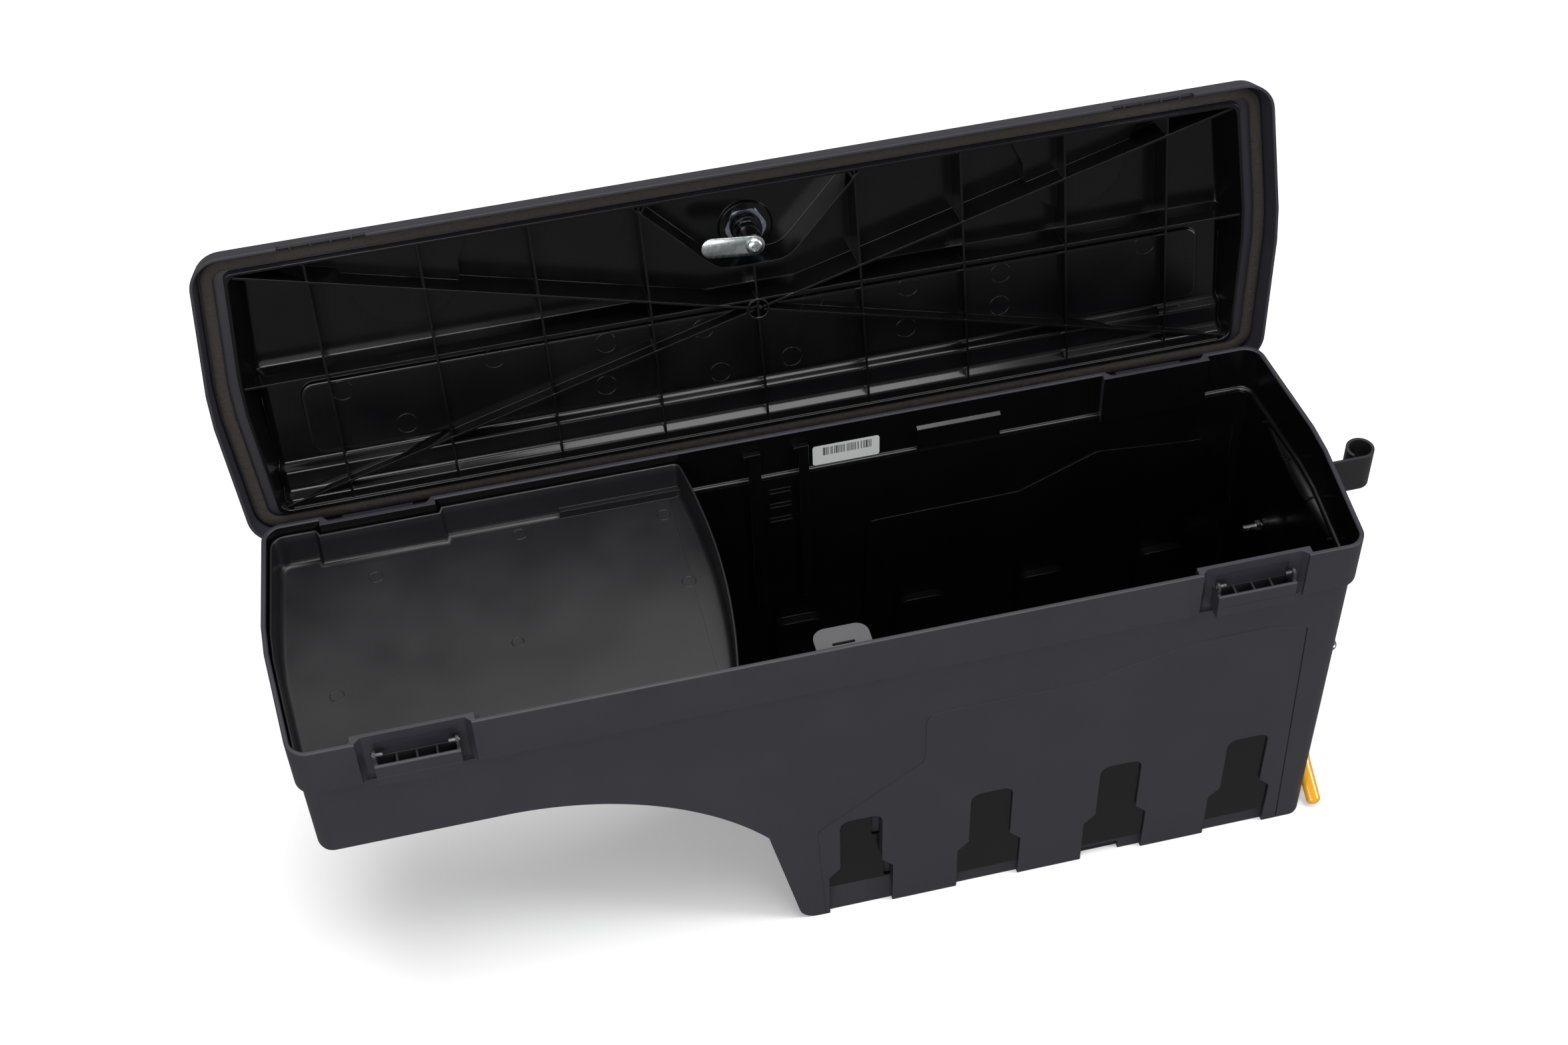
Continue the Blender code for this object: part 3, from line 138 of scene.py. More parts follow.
def platedSteel(name, colour, other, roughness):
    # Bright zinc on stamped steel: pale mirror with a faint blue and straw passivation bloom.
    made, tree, shader, place = newMaterial(name, {"Metallic": 1.0})
    bloom = addNode(tree, "ShaderNodeTexNoise", {"Scale": grain["zincSpangle"], "Detail": 3.0},
                    {"Vector": place})
    ramp = addNode(tree, "ShaderNodeValToRGB", {}, {"Fac": bloom.outputs["Fac"]})
    ramp.color_ramp.elements[0].position = 0.35
    ramp.color_ramp.elements[0].color = linear(colour)
    ramp.color_ramp.elements[1].position = 0.65
    ramp.color_ramp.elements[1].color = linear(other)
    tree.links.new(ramp.outputs["Color"], shader.inputs["Base Color"])
    rough = addNode(tree, "ShaderNodeMapRange", {"To Min": roughness - 0.06, "To Max": roughness + 0.06},
                    {"Value": bloom.outputs["Fac"]})
    tree.links.new(rough.outputs["Result"], shader.inputs["Roughness"])
    scratch = addNode(tree, "ShaderNodeTexNoise", {"Scale": 900.0, "Detail": 2.0}, {"Vector": place})
    edge = addNode(tree, "ShaderNodeBevel", {"Radius": 0.0004}, samples=4)
    bump = addNode(tree, "ShaderNodeBump", {"Strength": 0.15, "Distance": 0.00005},
                   {"Height": scratch.outputs["Fac"], "Normal": edge.outputs["Normal"]})
    tree.links.new(bump.outputs["Normal"], shader.inputs["Normal"])
    return made


def coatedSteel(name, colour, lighter, roughness):
    # Electro-coated steel plate: thin dark film with slight orange peel.
    made, tree, shader, place = newMaterial(name, {"IOR": 1.5, "Metallic": 0.35})
    peel = addNode(tree, "ShaderNodeTexNoise", {"Scale": 420.0, "Detail": 3.0}, {"Vector": place})
    tint = addNode(tree, "ShaderNodeMix", {"A": linear(colour), "B": linear(lighter)}, data_type="RGBA")
    tree.links.new(peel.outputs["Fac"], tint.inputs["Factor"])
    tree.links.new(tint.outputs[2], shader.inputs["Base Color"])
    rough = addNode(tree, "ShaderNodeMapRange", {"To Min": roughness - 0.07, "To Max": roughness + 0.07},
                    {"Value": peel.outputs["Fac"]})
    tree.links.new(rough.outputs["Result"], shader.inputs["Roughness"])
    edge = addNode(tree, "ShaderNodeBevel", {"Radius": 0.0006}, samples=4)
    bump = addNode(tree, "ShaderNodeBump", {"Strength": 0.3, "Distance": 0.0001},
                   {"Height": peel.outputs["Fac"], "Normal": edge.outputs["Normal"]})
    tree.links.new(bump.outputs["Normal"], shader.inputs["Normal"])
    return made


def dippedVinyl():
    # Dip-moulded yellow vinyl: thick soft gloss skin, a little lighter where it is thin.
    made, tree, shader, place = newMaterial("dippedYellowVinyl", {"IOR": 1.53, "Coat Weight": 0.4,
                                                                  "Coat Roughness": 0.08})
    thin = addNode(tree, "ShaderNodeTexNoise", {"Scale": 60.0, "Detail": 2.0}, {"Vector": place})
    tint = addNode(tree, "ShaderNodeMix", {"A": linear(0xB87E00), "B": linear(0xCB9203)},
                   data_type="RGBA")
    tree.links.new(thin.outputs["Fac"], tint.inputs["Factor"])
    tree.links.new(tint.outputs[2], shader.inputs["Base Color"])
    rough = addNode(tree, "ShaderNodeMapRange", {"To Min": 0.18, "To Max": 0.30},
                    {"Value": thin.outputs["Fac"]})
    tree.links.new(rough.outputs["Result"], shader.inputs["Roughness"])
    bump = addNode(tree, "ShaderNodeBump", {"Strength": 0.2, "Distance": 0.0003},
                   {"Height": thin.outputs["Fac"]})
    tree.links.new(bump.outputs["Normal"], shader.inputs["Normal"])
    return made


def printedLabel(centreX, topZ):
    # Thermal-printed polyester label: satin silver-white film with a block of plain dark bars.
    made, tree, shader, place = newMaterial("printedPolyesterLabel", {"IOR": 1.5, "Roughness": 0.38})
    moved = addNode(tree, "ShaderNodeMapping", {"Location": (-centreX, 0.0, -topZ)}, {"Vector": place})
    parts = addNode(tree, "ShaderNodeSeparateXYZ", {}, {"Vector": moved.outputs["Vector"]})
    stretch = addNode(tree, "ShaderNodeCombineXYZ", {}, {"X": parts.outputs["X"]})
    bars = addNode(tree, "ShaderNodeTexNoise", {"Scale": 1500.0, "Detail": 0.0},
                   {"Vector": stretch.outputs["Vector"]})
    dark = addNode(tree, "ShaderNodeMath", {1: 0.5}, {0: bars.outputs["Fac"]}, operation="GREATER_THAN")
    result = dark.outputs["Value"]
    limits = (("X", "GREATER_THAN", -0.0235), ("X", "LESS_THAN", 0.0265), ("Z", "LESS_THAN", -0.0030),
              ("Z", "GREATER_THAN", -0.0135))
    for axis, side, limit in limits:
        within = addNode(tree, "ShaderNodeMath", {1: limit}, {0: parts.outputs[axis]}, operation=side)
        both = addNode(tree, "ShaderNodeMath", {}, {0: result, 1: within.outputs["Value"]},
                       operation="MULTIPLY")
        result = both.outputs["Value"]
    tint = addNode(tree, "ShaderNodeMix", {"A": linear(0xA9ACAB), "B": linear(0x121214)},
                   data_type="RGBA")
    tree.links.new(result, tint.inputs["Factor"])
    tree.links.new(tint.outputs[2], shader.inputs["Base Color"])
    return made


outerPlastic = mouldedPlastic("sparkTexturedPolypropylene", 0x212026, 0x26252B, 0.44, grain["sparkDepth"],
                              0.34)
# Inner faces: the polished mould face gives real gloss; their near-black colour, darker than the outside, is
# painted shade inside the tub and lid.
innerPlasticGlossAndShade = mouldedPlastic("polishedToolPolypropyleneAndPaintedShade", 0x050506, 0x070708, 0.20,
                              grain["sparkDepth"] * 0.3, 0.36)
# Near-black like the inner plastic: its darkness is painted shade of the lid's inside; the gloss is real.
ribPlastic = mouldedPlastic("glossyRibPolypropylene", 0x060607, 0x09090A, 0.22, grain["sparkDepth"] * 0.3,
                            0.36)
trayPlastic = mouldedPlastic("leatherGrainTrayPolypropylene", 0x0E0E10, 0x141416, 0.36,
                             grain["trayDepth"], 0.36)
sealFoam = spongeRubber()
brightZinc = platedSteel("brightZincPlatedSteel", 0xA9B6BA, 0xC6C6C4, 0.26)
agedZinc = platedSteel("dullZincPin", 0x54565A, 0x6E6E70, 0.34)
blueZinc = platedSteel("blueZincPlatedNut", 0x8C98AA, 0xABB2BE, 0.20)
plateCoat = coatedSteel("electroCoatedSteelPlate", 0x1D1C1F, 0x272628, 0.42)
greyCoat = coatedSteel("greyPaintedSteelTongue", 0x3C3C3F, 0x48484B, 0.55)
barrelBlack = coatedSteel("blackChromedLockBarrel", 0x08080A, 0x101012, 0.14)
yellowVinyl = dippedVinyl()
print("materials made")


# Outlines and solids.
tubSizes = {
    "boxLength": 1.000,  # rim, from the middle of one bulged end to the other
    "boxWidth": 0.2788,  # rim, front to back
    "boxHeight": 0.4145,  # underside of the foot to the top of the rim
    "endBulge": 0.0101,  # how far the middle of an end stands out past its corners
    "endFlat": 0.0332,  # width of the straight middle of an end
    "cornerR": 0.020,
    "bendR": 0.030,  # radius of the soft bends in an end wall
    "cornerSteps": 10,
    "rimWall": 0.0046,
    "skirtDepth": 0.0545,  # height of the rim band
    "skirtStep": 0.0045,  # how far the lower wall is set in under the rim band
    "draft": 0.0012,  # taper of the lower wall over the full height
    "wall": 0.0040,
    "floor": 0.0045,
    "shallowDepth": 0.1448,  # rim top to the underside over the wheel arch
    "archStartX": -0.319,  # where the flat underside turns into the arch
    "archR": 0.303,
    "footTopX": -0.0770,  # where the arch meets the foot's left wall
    "footLean": 0.0310,  # how far that wall leans inwards down to the floor
    "footCornerR": 0.020,
    "archSteps": 48,
    "fitGap": 0.0003,  # gap between pieces that touch
    "slack": 0.02,  # how far a cutter runs past what it cuts
}


# move each side of an outline towards its inside; one distance, or one for each side
def inset(outline, distance):
    count = len(outline)
    each = distance if isinstance(distance, list) else [distance] * count
    area = sum(outline[i][0] * outline[(i + 1) % count][1] - outline[(i + 1) % count][0] * outline[i][1]
               for i in range(count))
    turn = 1.0 if area > 0 else -1.0
    sides = []
    for i in range(count):
        a = Vector(outline[i])
        along = (Vector(outline[(i + 1) % count]) - a).normalized()
        sides.append((a + Vector((-along.y, along.x)) * each[i] * turn, along))
    moved = []
    for i in range(count):
        a, s = sides[i - 1]
        b, t = sides[i]
        cross = s.x * t.y - s.y * t.x
        gap = b - a
        if abs(cross) < 1e-9:
            moved.append(tuple(b))
        else:
            moved.append(tuple(a + s * ((gap.x * t.y - gap.y * t.x) / cross)))
    return moved


# replace each corner by an arc of its own radius; a radius of 0 keeps the corner
def rounded(outline, radii, steps):
    count = len(outline)
    points = []
    for i, radius in enumerate(radii):
        corner = Vector(outline[i])
        if radius <= 0.0:
            points.append(tuple(corner))
            continue
        before = (Vector(outline[i - 1]) - corner).normalized()
        after = (Vector(outline[(i + 1) % count]) - corner).normalized()
        half = before.angle(after) / 2.0
        centre = corner + (before + after).normalized() * (radius / math.sin(half))
        start = corner + before * (radius / math.tan(half)) - centre
        end = corner + after * (radius / math.tan(half)) - centre
        sweep = start.angle_signed(end)
        for k in range(steps + 1):
            turned = start.copy()
            turned.rotate(Matrix.Rotation(-sweep * k / steps, 2))
            points.append(tuple(centre + turned))
    return points


def sharpRim():  # plan of the box with sharp corners: long sides, and ends bent out to a flat middle
    cornerX = tubSizes["boxLength"] / 2 - tubSizes["endBulge"]
    half = tubSizes["boxWidth"] / 2
    return [(-cornerX, -half), (cornerX, -half), (tubSizes["boxLength"] / 2, -tubSizes["endFlat"] / 2),
            (tubSizes["boxLength"] / 2, tubSizes["endFlat"] / 2), (cornerX, half), (-cornerX, half),
            (-tubSizes["boxLength"] / 2, tubSizes["endFlat"] / 2),
            (-tubSizes["boxLength"] / 2, -tubSizes["endFlat"] / 2)]


# plan of the box, inset by distance (the ends by end), with corners and bends rounded
def rimOutline(distance=0.0, end=None):
    ends = distance if end is None else end
    each = [distance, ends, ends, ends, distance, ends, ends, ends]
    corner = max(tubSizes["cornerR"] - distance, 0.004)
    radii = [corner, corner, tubSizes["bendR"], tubSizes["bendR"], corner, corner, tubSizes["bendR"],
             tubSizes["bendR"]]
    return rounded(inset(sharpRim(), each), radii, tubSizes["cornerSteps"])


def endX(y, distance=0.0):  # x of the +X end face at y, on the outline inset by distance
    half = tubSizes["boxWidth"] / 2
    slope = tubSizes["endBulge"] / (half - tubSizes["endFlat"] / 2)
    beyond = max(abs(y) - tubSizes["endFlat"] / 2, 0.0)
    return tubSizes["boxLength"] / 2 - beyond * slope - distance


# lengthwise profile below the rim: shallow end, wheel arch, foot; inset by distance
def sideOutline(distance):
    top = tubSizes["boxHeight"] + tubSizes["slack"]
    shallow = tubSizes["boxHeight"] - tubSizes["shallowDepth"]
    end = tubSizes["boxLength"] / 2 - tubSizes["skirtStep"]
    centre = Vector((tubSizes["archStartX"], shallow - tubSizes["archR"]))
    last = math.asin((tubSizes["footTopX"] - tubSizes["archStartX"]) / tubSizes["archR"])
    radius = tubSizes["archR"] + distance
    arch = []
    for k in range(tubSizes["archSteps"] + 1):
        angle = last * k / tubSizes["archSteps"]
        arch.append((centre.x + radius * math.sin(angle), centre.y + radius * math.cos(angle)))
    footTop = centre.y + tubSizes["archR"] * math.cos(last)
    lean = tubSizes["footLean"] * (footTop - distance) / footTop
    sharp = [(-end + distance, top), (-end + distance, shallow + distance)]
    radii = [0.0, tubSizes["footCornerR"] - distance]
    sharp += arch
    radii += [0.0] * len(arch)
    sharp += [(arch[-1][0] + lean, distance), (end - distance, distance), (end - distance, top)]
    radii += [tubSizes["footCornerR"] - distance, tubSizes["footCornerR"] - distance, 0.0]
    return rounded(sharp, radii, tubSizes["cornerSteps"])


def objFrom(bm, name, mat=None):
    bmesh.ops.recalc_face_normals(bm, faces=bm.faces)
    mesh = bpy.data.meshes.new(name)
    bm.to_mesh(mesh)
    bm.free()
    if mat:
        mesh.materials.append(mat)
    obj = bpy.data.objects.new(name, mesh)
    bpy.context.scene.collection.objects.link(obj)
    return obj


# closed solid through rings of 3-D points, capped at both ends
def loft(sections, name="tool", mat=None):
    bm = bmesh.new()
    rings = [[bm.verts.new(p) for p in ring] for ring in sections]
    count = len(rings[0])
    for low, high in zip(rings, rings[1:]):
        for i in range(count):
            bm.faces.new((low[i], low[(i + 1) % count], high[(i + 1) % count], high[i]))
    bm.faces.new(list(reversed(rings[0])))
    bm.faces.new(rings[-1])
    return objFrom(bm, name, mat)


def slab(outline, low, high, name="tool", mat=None):  # plan outline stood up from low to high along Z
    return loft([[(x, y, z) for x, y in outline] for z in (low, high)], name, mat)


def slabY(outline, low, high, name="tool", mat=None):  # x-Z outline run from low to high along Y
    return loft([[(x, y, z) for x, z in outline] for y in (low, high)], name, mat)


def slabX(outline, low, high, name="tool", mat=None):  # y-Z outline run from low to high along X
    return loft([[(x, y, z) for y, z in outline] for x in (low, high)], name, mat)


def box(x, y, z, name="tool", mat=None):  # block between the low and high ends of x, y and z
    return slab([(x[0], y[0]), (x[1], y[0]), (x[1], y[1]), (x[0], y[1])], z[0], z[1], name, mat)


def circle(radius, count, centre=(0.0, 0.0)):
    return [(centre[0] + radius * math.cos(2 * math.pi * k / count),
             centre[1] + radius * math.sin(2 * math.pi * k / count)) for k in range(count)]


def combine(obj, tool, operation):  # apply one exact Boolean and throw the tool away
    modifier = obj.modifiers.new("combine", "BOOLEAN")
    modifier.operation = operation
    modifier.solver = "EXACT"
    modifier.object = tool
    graph = bpy.context.evaluated_depsgraph_get()
    mesh = bpy.data.meshes.new_from_object(obj.evaluated_get(graph))
    obj.modifiers.remove(modifier)
    old = obj.data
    obj.data = mesh
    mesh.name = obj.name
    bpy.data.meshes.remove(old)
    used = tool.data
    bpy.data.objects.remove(tool, do_unlink=True)
    bpy.data.meshes.remove(used)
    return obj


def cut(obj, tool):
    return combine(obj, tool, "DIFFERENCE")


def add(obj, tool):
    return combine(obj, tool, "UNION")


def keep(obj, tool):
    return combine(obj, tool, "INTERSECT")


def smooth(obj, degrees=35.0):
    obj.data.shade_smooth()
    obj.data.set_sharp_from_angle(angle=math.radians(degrees))


def tube(points, radius, steps, name="tool", mat=None):  # round bar along a polyline, with mitred joints
    path = [Vector(p) for p in points]
    rings = []
    side = None
    for i, at in enumerate(path):
        before = (at - path[i - 1]).normalized() if i else None
        after = (path[i + 1] - at).normalized() if i + 1 < len(path) else None
        ahead = ((before or after) + (after or before)).normalized()
        if side is None:
            seed = Vector((0, 0, 1)) if abs(ahead.z) < 0.9 else Vector((1, 0, 0))
            side = ahead.cross(seed).normalized()
        side = (side - ahead * side.dot(ahead)).normalized()
        up = ahead.cross(side)
        stretch = 1.0
        if before and after:
            stretch = 1.0 / max(math.cos(before.angle(after) / 2), 0.5)
        bend = (after - before) if before and after else Vector((0, 0, 0))
        bend = bend.normalized() if bend.length > 1e-6 else None
        ring = []
        for k in range(steps):
            angle = 2 * math.pi * k / steps
            out = (side * math.cos(angle) + up * math.sin(angle)) * radius
            if bend:
                out += bend * out.dot(bend) * (stretch - 1.0)
            ring.append(tuple(at + out))
        rings.append(ring)
    return loft(rings, name, mat)


def together(tools):  # separate solids as one tool, so that one Boolean does for all
    bm = bmesh.new()
    for tool in tools:
        bm.from_mesh(tool.data)
        used = tool.data
        bpy.data.objects.remove(tool, do_unlink=True)
        bpy.data.meshes.remove(used)
    return objFrom(bm, "tool")


def joined(name, parts, mats):  # closed solids that stand in each other, as one piece
    bm = bmesh.new()
    for index, part in parts:
        start = len(bm.faces)
        bm.from_mesh(part.data)
        bm.faces.ensure_lookup_table()
        if index is not None:
            for face in bm.faces[start:]:
                face.material_index = index
        used = part.data
        bpy.data.objects.remove(part, do_unlink=True)
        bpy.data.meshes.remove(used)
    mesh = bpy.data.meshes.new(name)
    bm.to_mesh(mesh)
    bm.free()
    for mat in mats:
        mesh.materials.append(mat)
    obj = bpy.data.objects.new(name, mesh)
    bpy.context.scene.collection.objects.link(obj)
    smooth(obj)
    return obj


# turned solid from (radius, height) pairs, upwards
def lathe(profile, spot, steps, name="tool", mat=None):
    return loft([[(x, y, z) for x, y in circle(radius, steps, spot)] for radius, z in profile], name, mat)


def eased(points, cuts, steps=4):  # round the corners of a path in any number of dimensions
    made = []
    for i, size in enumerate(cuts):
        at = Vector(points[i])
        if not size:
            made.append(at)
            continue
        start = at + (Vector(points[i - 1]) - at).normalized() * size
        end = at + (Vector(points[(i + 1) % len(points)]) - at).normalized() * size
        for k in range(steps + 1):
            t = k / steps
            made.append(start * (1 - t) ** 2 + at * 2 * t * (1 - t) + end * t * t)
    return made


def turned(obj, axis, angle):  # swing a mesh about a line along X
    centre = Matrix.Translation(Vector(axis))
    obj.data.transform(centre @ Matrix.Rotation(angle, 4, "X") @ centre.inverted())
    return obj


# Geometry Nodes: rows of bars, rings at points, beads along a path and a coil.
def newTree(name, inputs):
    tree = bpy.data.node_groups.new(name, "GeometryNodeTree")
    tree.is_modifier = True
    tree.interface.new_socket("Geometry", in_out="OUTPUT", socket_type="NodeSocketGeometry")
    tree.interface.new_socket("Geometry", in_out="INPUT", socket_type="NodeSocketGeometry")
    for label, kind, value in inputs:
        socket = tree.interface.new_socket(label, in_out="INPUT", socket_type="NodeSocket" + kind)
        if value is not None:
            socket.default_value = value
    return tree, tree.nodes.new("NodeGroupInput").outputs, tree.nodes.new("NodeGroupOutput").inputs


def barRow():  # bars of one size at an even pitch
    tree, given, result = newTree("barRow", [("Count", "Int", 4), ("Start", "Vector", None),
                                  ("Step", "Vector", None), ("Size", "Vector", None),
                                  ("Finish", "Material", None)])
    line = addNode(tree, "GeometryNodeMeshLine", {},
                   {"Count": given["Count"], "Start Location": given["Start"],
                   "Offset": given["Step"]})
    bar = addNode(tree, "GeometryNodeMeshCube", {}, {"Size": given["Size"]})
    row = addNode(tree, "GeometryNodeInstanceOnPoints", {}, {"Points": line.outputs["Mesh"],
                  "Instance": bar.outputs["Mesh"]})
    real = addNode(tree, "GeometryNodeRealizeInstances", {}, {"Geometry": row.outputs["Instances"]})
    done = addNode(tree, "GeometryNodeSetMaterial", {}, {"Geometry": real.outputs["Geometry"],
                   "Material": given["Finish"]})
    tree.links.new(done.outputs["Geometry"], result["Geometry"])
    return tree


def ringMarks():  # a raised ring, as a pusher pin leaves, at each point of the carrier
    tree, given, result = newTree("ringMarks", [("Radius", "Float", 0.01), ("Bead", "Float", 0.0003),
                                  ("Finish", "Material", None)])
    path = addNode(tree, "GeometryNodeCurvePrimitiveCircle", {"Resolution": 28},
                   {"Radius": given["Radius"]})
    bead = addNode(tree, "GeometryNodeCurvePrimitiveCircle", {"Resolution": 6}, {"Radius": given["Bead"]})
    ring = addNode(tree, "GeometryNodeCurveToMesh", {}, {"Curve": path.outputs["Curve"],
                   "Profile Curve": bead.outputs["Curve"]})
    many = addNode(tree, "GeometryNodeInstanceOnPoints", {}, {"Points": given["Geometry"],
                   "Instance": ring.outputs["Mesh"]})
    real = addNode(tree, "GeometryNodeRealizeInstances", {}, {"Geometry": many.outputs["Instances"]})
    done = addNode(tree, "GeometryNodeSetMaterial", {}, {"Geometry": real.outputs["Geometry"],
                   "Material": given["Finish"]})
    tree.links.new(done.outputs["Geometry"], result["Geometry"])
    return tree


def beadPath():  # an oval section swept along the carrier's edges, with folds pushed in by seeded noise
    tree, given, result = newTree("beadPath", [("Width", "Float", 0.006), ("Height", "Float", 0.004),
                                  ("Sides", "Int", 12), ("Spacing", "Float", 0.003),
                                  ("Fold", "Float", 0.0),
                                  ("FoldScale", "Float", 200.0), ("Finish", "Material", None)])
    curve = addNode(tree, "GeometryNodeMeshToCurve", {}, {"Mesh": given["Geometry"]})
    even = addNode(tree, "GeometryNodeResampleCurve", {}, {"Curve": curve.outputs["Curve"],
                   "Length": given["Spacing"]}, mode="LENGTH")
    upright = addNode(tree, "GeometryNodeSetCurveNormal", {}, {"Curve": even.outputs["Curve"]},
                      mode="Z_UP")
    section = addNode(tree, "GeometryNodeCurvePrimitiveCircle", {"Radius": 1.0},
                      {"Resolution": given["Sides"]})
    size = addNode(tree, "ShaderNodeCombineXYZ", {"Z": 1.0}, {"X": given["Width"], "Y": given["Height"]})
    oval = addNode(tree, "GeometryNodeTransform", {}, {"Geometry": section.outputs["Curve"],
                   "Scale": size.outputs["Vector"]})
    bead = addNode(tree, "GeometryNodeCurveToMesh", {"Fill Caps": True},
                   {"Curve": upright.outputs["Curve"],
                   "Profile Curve": oval.outputs["Geometry"]})
    folds = addNode(tree, "ShaderNodeTexNoise", {"W": 3.0, "Detail": 3.0}, {"Scale": given["FoldScale"]},
                    noise_dimensions="4D")
    middle = addNode(tree, "ShaderNodeMath", {1: 0.5}, {0: folds.outputs["Fac"]}, operation="SUBTRACT")
    depth = addNode(tree, "ShaderNodeMath", {}, {0: middle.outputs["Value"], 1: given["Fold"]},
                    operation="MULTIPLY")
    outward = tree.nodes.new("GeometryNodeInputNormal").outputs["Normal"]
    push = addNode(tree, "ShaderNodeVectorMath", {}, {0: outward, "Scale": depth.outputs["Value"]},
                   operation="SCALE")
    moved = addNode(tree, "GeometryNodeSetPosition", {}, {"Geometry": bead.outputs["Mesh"],
                    "Offset": push.outputs["Vector"]})
    real = addNode(tree, "GeometryNodeRealizeInstances", {}, {"Geometry": moved.outputs["Geometry"]})
    done = addNode(tree, "GeometryNodeSetMaterial", {}, {"Geometry": real.outputs["Geometry"],
                   "Material": given["Finish"]})
    tree.links.new(done.outputs["Geometry"], result["Geometry"])
    return tree


def coilTree():  # round wire wound to an even pitch
    tree, given, result = newTree("wireCoil", [("Turns", "Float", 3.5), ("Radius", "Float", 0.0085),
                                  ("Height", "Float", 0.02), ("Wire", "Float", 0.0012),
                                  ("Place", "Vector", None),
                                  ("Finish", "Material", None)])
    coil = addNode(tree, "GeometryNodeCurveSpiral", {"Resolution": 40}, {"Rotations": given["Turns"],
                   "Start Radius": given["Radius"], "End Radius": given["Radius"],
                   "Height": given["Height"]})
    wire = addNode(tree, "GeometryNodeCurvePrimitiveCircle", {"Resolution": 12},
                   {"Radius": given["Wire"]})
    rod = addNode(tree, "GeometryNodeCurveToMesh", {"Fill Caps": True}, {"Curve": coil.outputs["Curve"],
                  "Profile Curve": wire.outputs["Curve"]})
    put = addNode(tree, "GeometryNodeTransform", {}, {"Geometry": rod.outputs["Mesh"],
                  "Translation": given["Place"]})
    real = addNode(tree, "GeometryNodeRealizeInstances", {}, {"Geometry": put.outputs["Geometry"]})
    done = addNode(tree, "GeometryNodeSetMaterial", {}, {"Geometry": real.outputs["Geometry"],
                   "Material": given["Finish"]})
    tree.links.new(done.outputs["Geometry"], result["Geometry"])
    return tree


trees = {"bars": barRow(), "rings": ringMarks(), "bead": beadPath(), "coil": coilTree()}


# run a tree and keep its result as a plain mesh
def grow(kind, values, points=(), closed=False, name="grown"):
    bm = bmesh.new()
    verts = [bm.verts.new(p) for p in points]
    for a, b in zip(verts, verts[1:]):
        bm.edges.new((a, b))
    if closed:
        bm.edges.new((verts[-1], verts[0]))
    mesh = bpy.data.meshes.new(name)
    bm.to_mesh(mesh)
    bm.free()
    obj = bpy.data.objects.new(name, mesh)
    bpy.context.scene.collection.objects.link(obj)
    modifier = obj.modifiers.new("shape", "NODES")
    modifier.node_group = trees[kind]
    sockets = {item.name: item.identifier for item in trees[kind].interface.items_tree
               if item.item_type == "SOCKET" and item.in_out == "INPUT"}
    for key, value in values.items():
        modifier[sockets[key]] = value
    graph = bpy.context.evaluated_depsgraph_get()
    made = bpy.data.meshes.new_from_object(obj.evaluated_get(graph))
    obj.modifiers.remove(modifier)
    obj.data = made
    made.name = name
    bpy.data.meshes.remove(mesh)
    return obj


# Tub.
recessSizes = {
    "recessCount": 4,
    "recessPitch": 0.1317,
    "recessFirstX": 0.0140,
    "recessTop": 0.1505,  # height of the top of a recess
    "recessShoulder": 0.0740,  # height where the neck widens
    "recessNeck": 0.0426,
    "recessBase": 0.0655,
    "recessCornerR": 0.0100,
    "recessDepth": 0.0100,
    "chinHeight": 0.0300,  # below this height the back of a recess slopes out again
    "chinDepth": 0.0040,  # depth left at the underside
    "notchWidth": 0.0410,  # gap in the chin of one front recess
    "notchHeight": 0.0100,
}

hingeSizes = {
    "hingeX": 0.3825,  # middle of each hinge pocket, left and right
    "pocketHalf": 0.0450,  # half width of the pocket's flat back
    "pocketFlare": 0.0054,  # how much wider the pocket is at the face
    "pocketIn": 0.0076,  # how far the pocket sets the rim wall in
    "pocketWall": 0.0038,
    "troughHalf": 0.0375,
    "troughOut": 0.0095,  # how far the trough stands out past the rim band
    "troughTop": 0.0235,  # below the rim top
    "troughBottom": 0.0500,  # below the rim top
    "troughWall": 0.0030,
    "troughRib": 0.0020,
    "troughRibDrop": 0.0060,  # inner ribs stop below the trough's top
    "axisDrop": 0.0176,  # hinge axis below the rim top
    "axisOut": 0.0004,  # hinge axis outside the rim face
    "earR": 0.0042,
    "stubR": 0.0020,
    "boreGap": 0.0003,
    "armEndGap": 0.0010,
    "knuckleR": 0.0050,
    "lidOpen": math.radians(102.75),
}

stripSizes = {
    "strikeWidth": 0.0510,
    "strikeReach": 0.0250,
    "strikeDrop": 0.0040,
    "strikeThick": 0.0026,
    "strikeLeg": 0.0300,
    "strikeSlot": (0.0210, 0.0030),
    "labelSize": (0.0670, 0.0254),
    "labelX": 0.0695,
    "labelDrop": 0.0245,
    "labelThick": 0.0003,
}


# bottle shape in X-Z: a narrow neck with rounded top corners on a wider base
def recessOutline(centreX, low, extra=0.0):
    neck = recessSizes["recessNeck"] / 2 + extra
    base = recessSizes["recessBase"] / 2 + extra
    slope = (recessSizes["recessBase"] - recessSizes["recessNeck"]) * 0.55
    top = recessSizes["recessTop"] + extra
    sharp = [(centreX - base, low), (centreX + base, low),
             (centreX + base, recessSizes["recessShoulder"] - slope),
             (centreX + neck, recessSizes["recessShoulder"]),
             (centreX + neck, top), (centreX - neck, top),
             (centreX - neck, recessSizes["recessShoulder"]),
             (centreX - base, recessSizes["recessShoulder"] - slope)]
    return rounded(sharp, [0, 0, 0, 0, recessSizes["recessCornerR"], recessSizes["recessCornerR"], 0, 0],
                   3)


def sideSpan(side, low, high):  # y range from low to high measured outwards on the front or the back
    return tuple(sorted((side * low, side * high)))


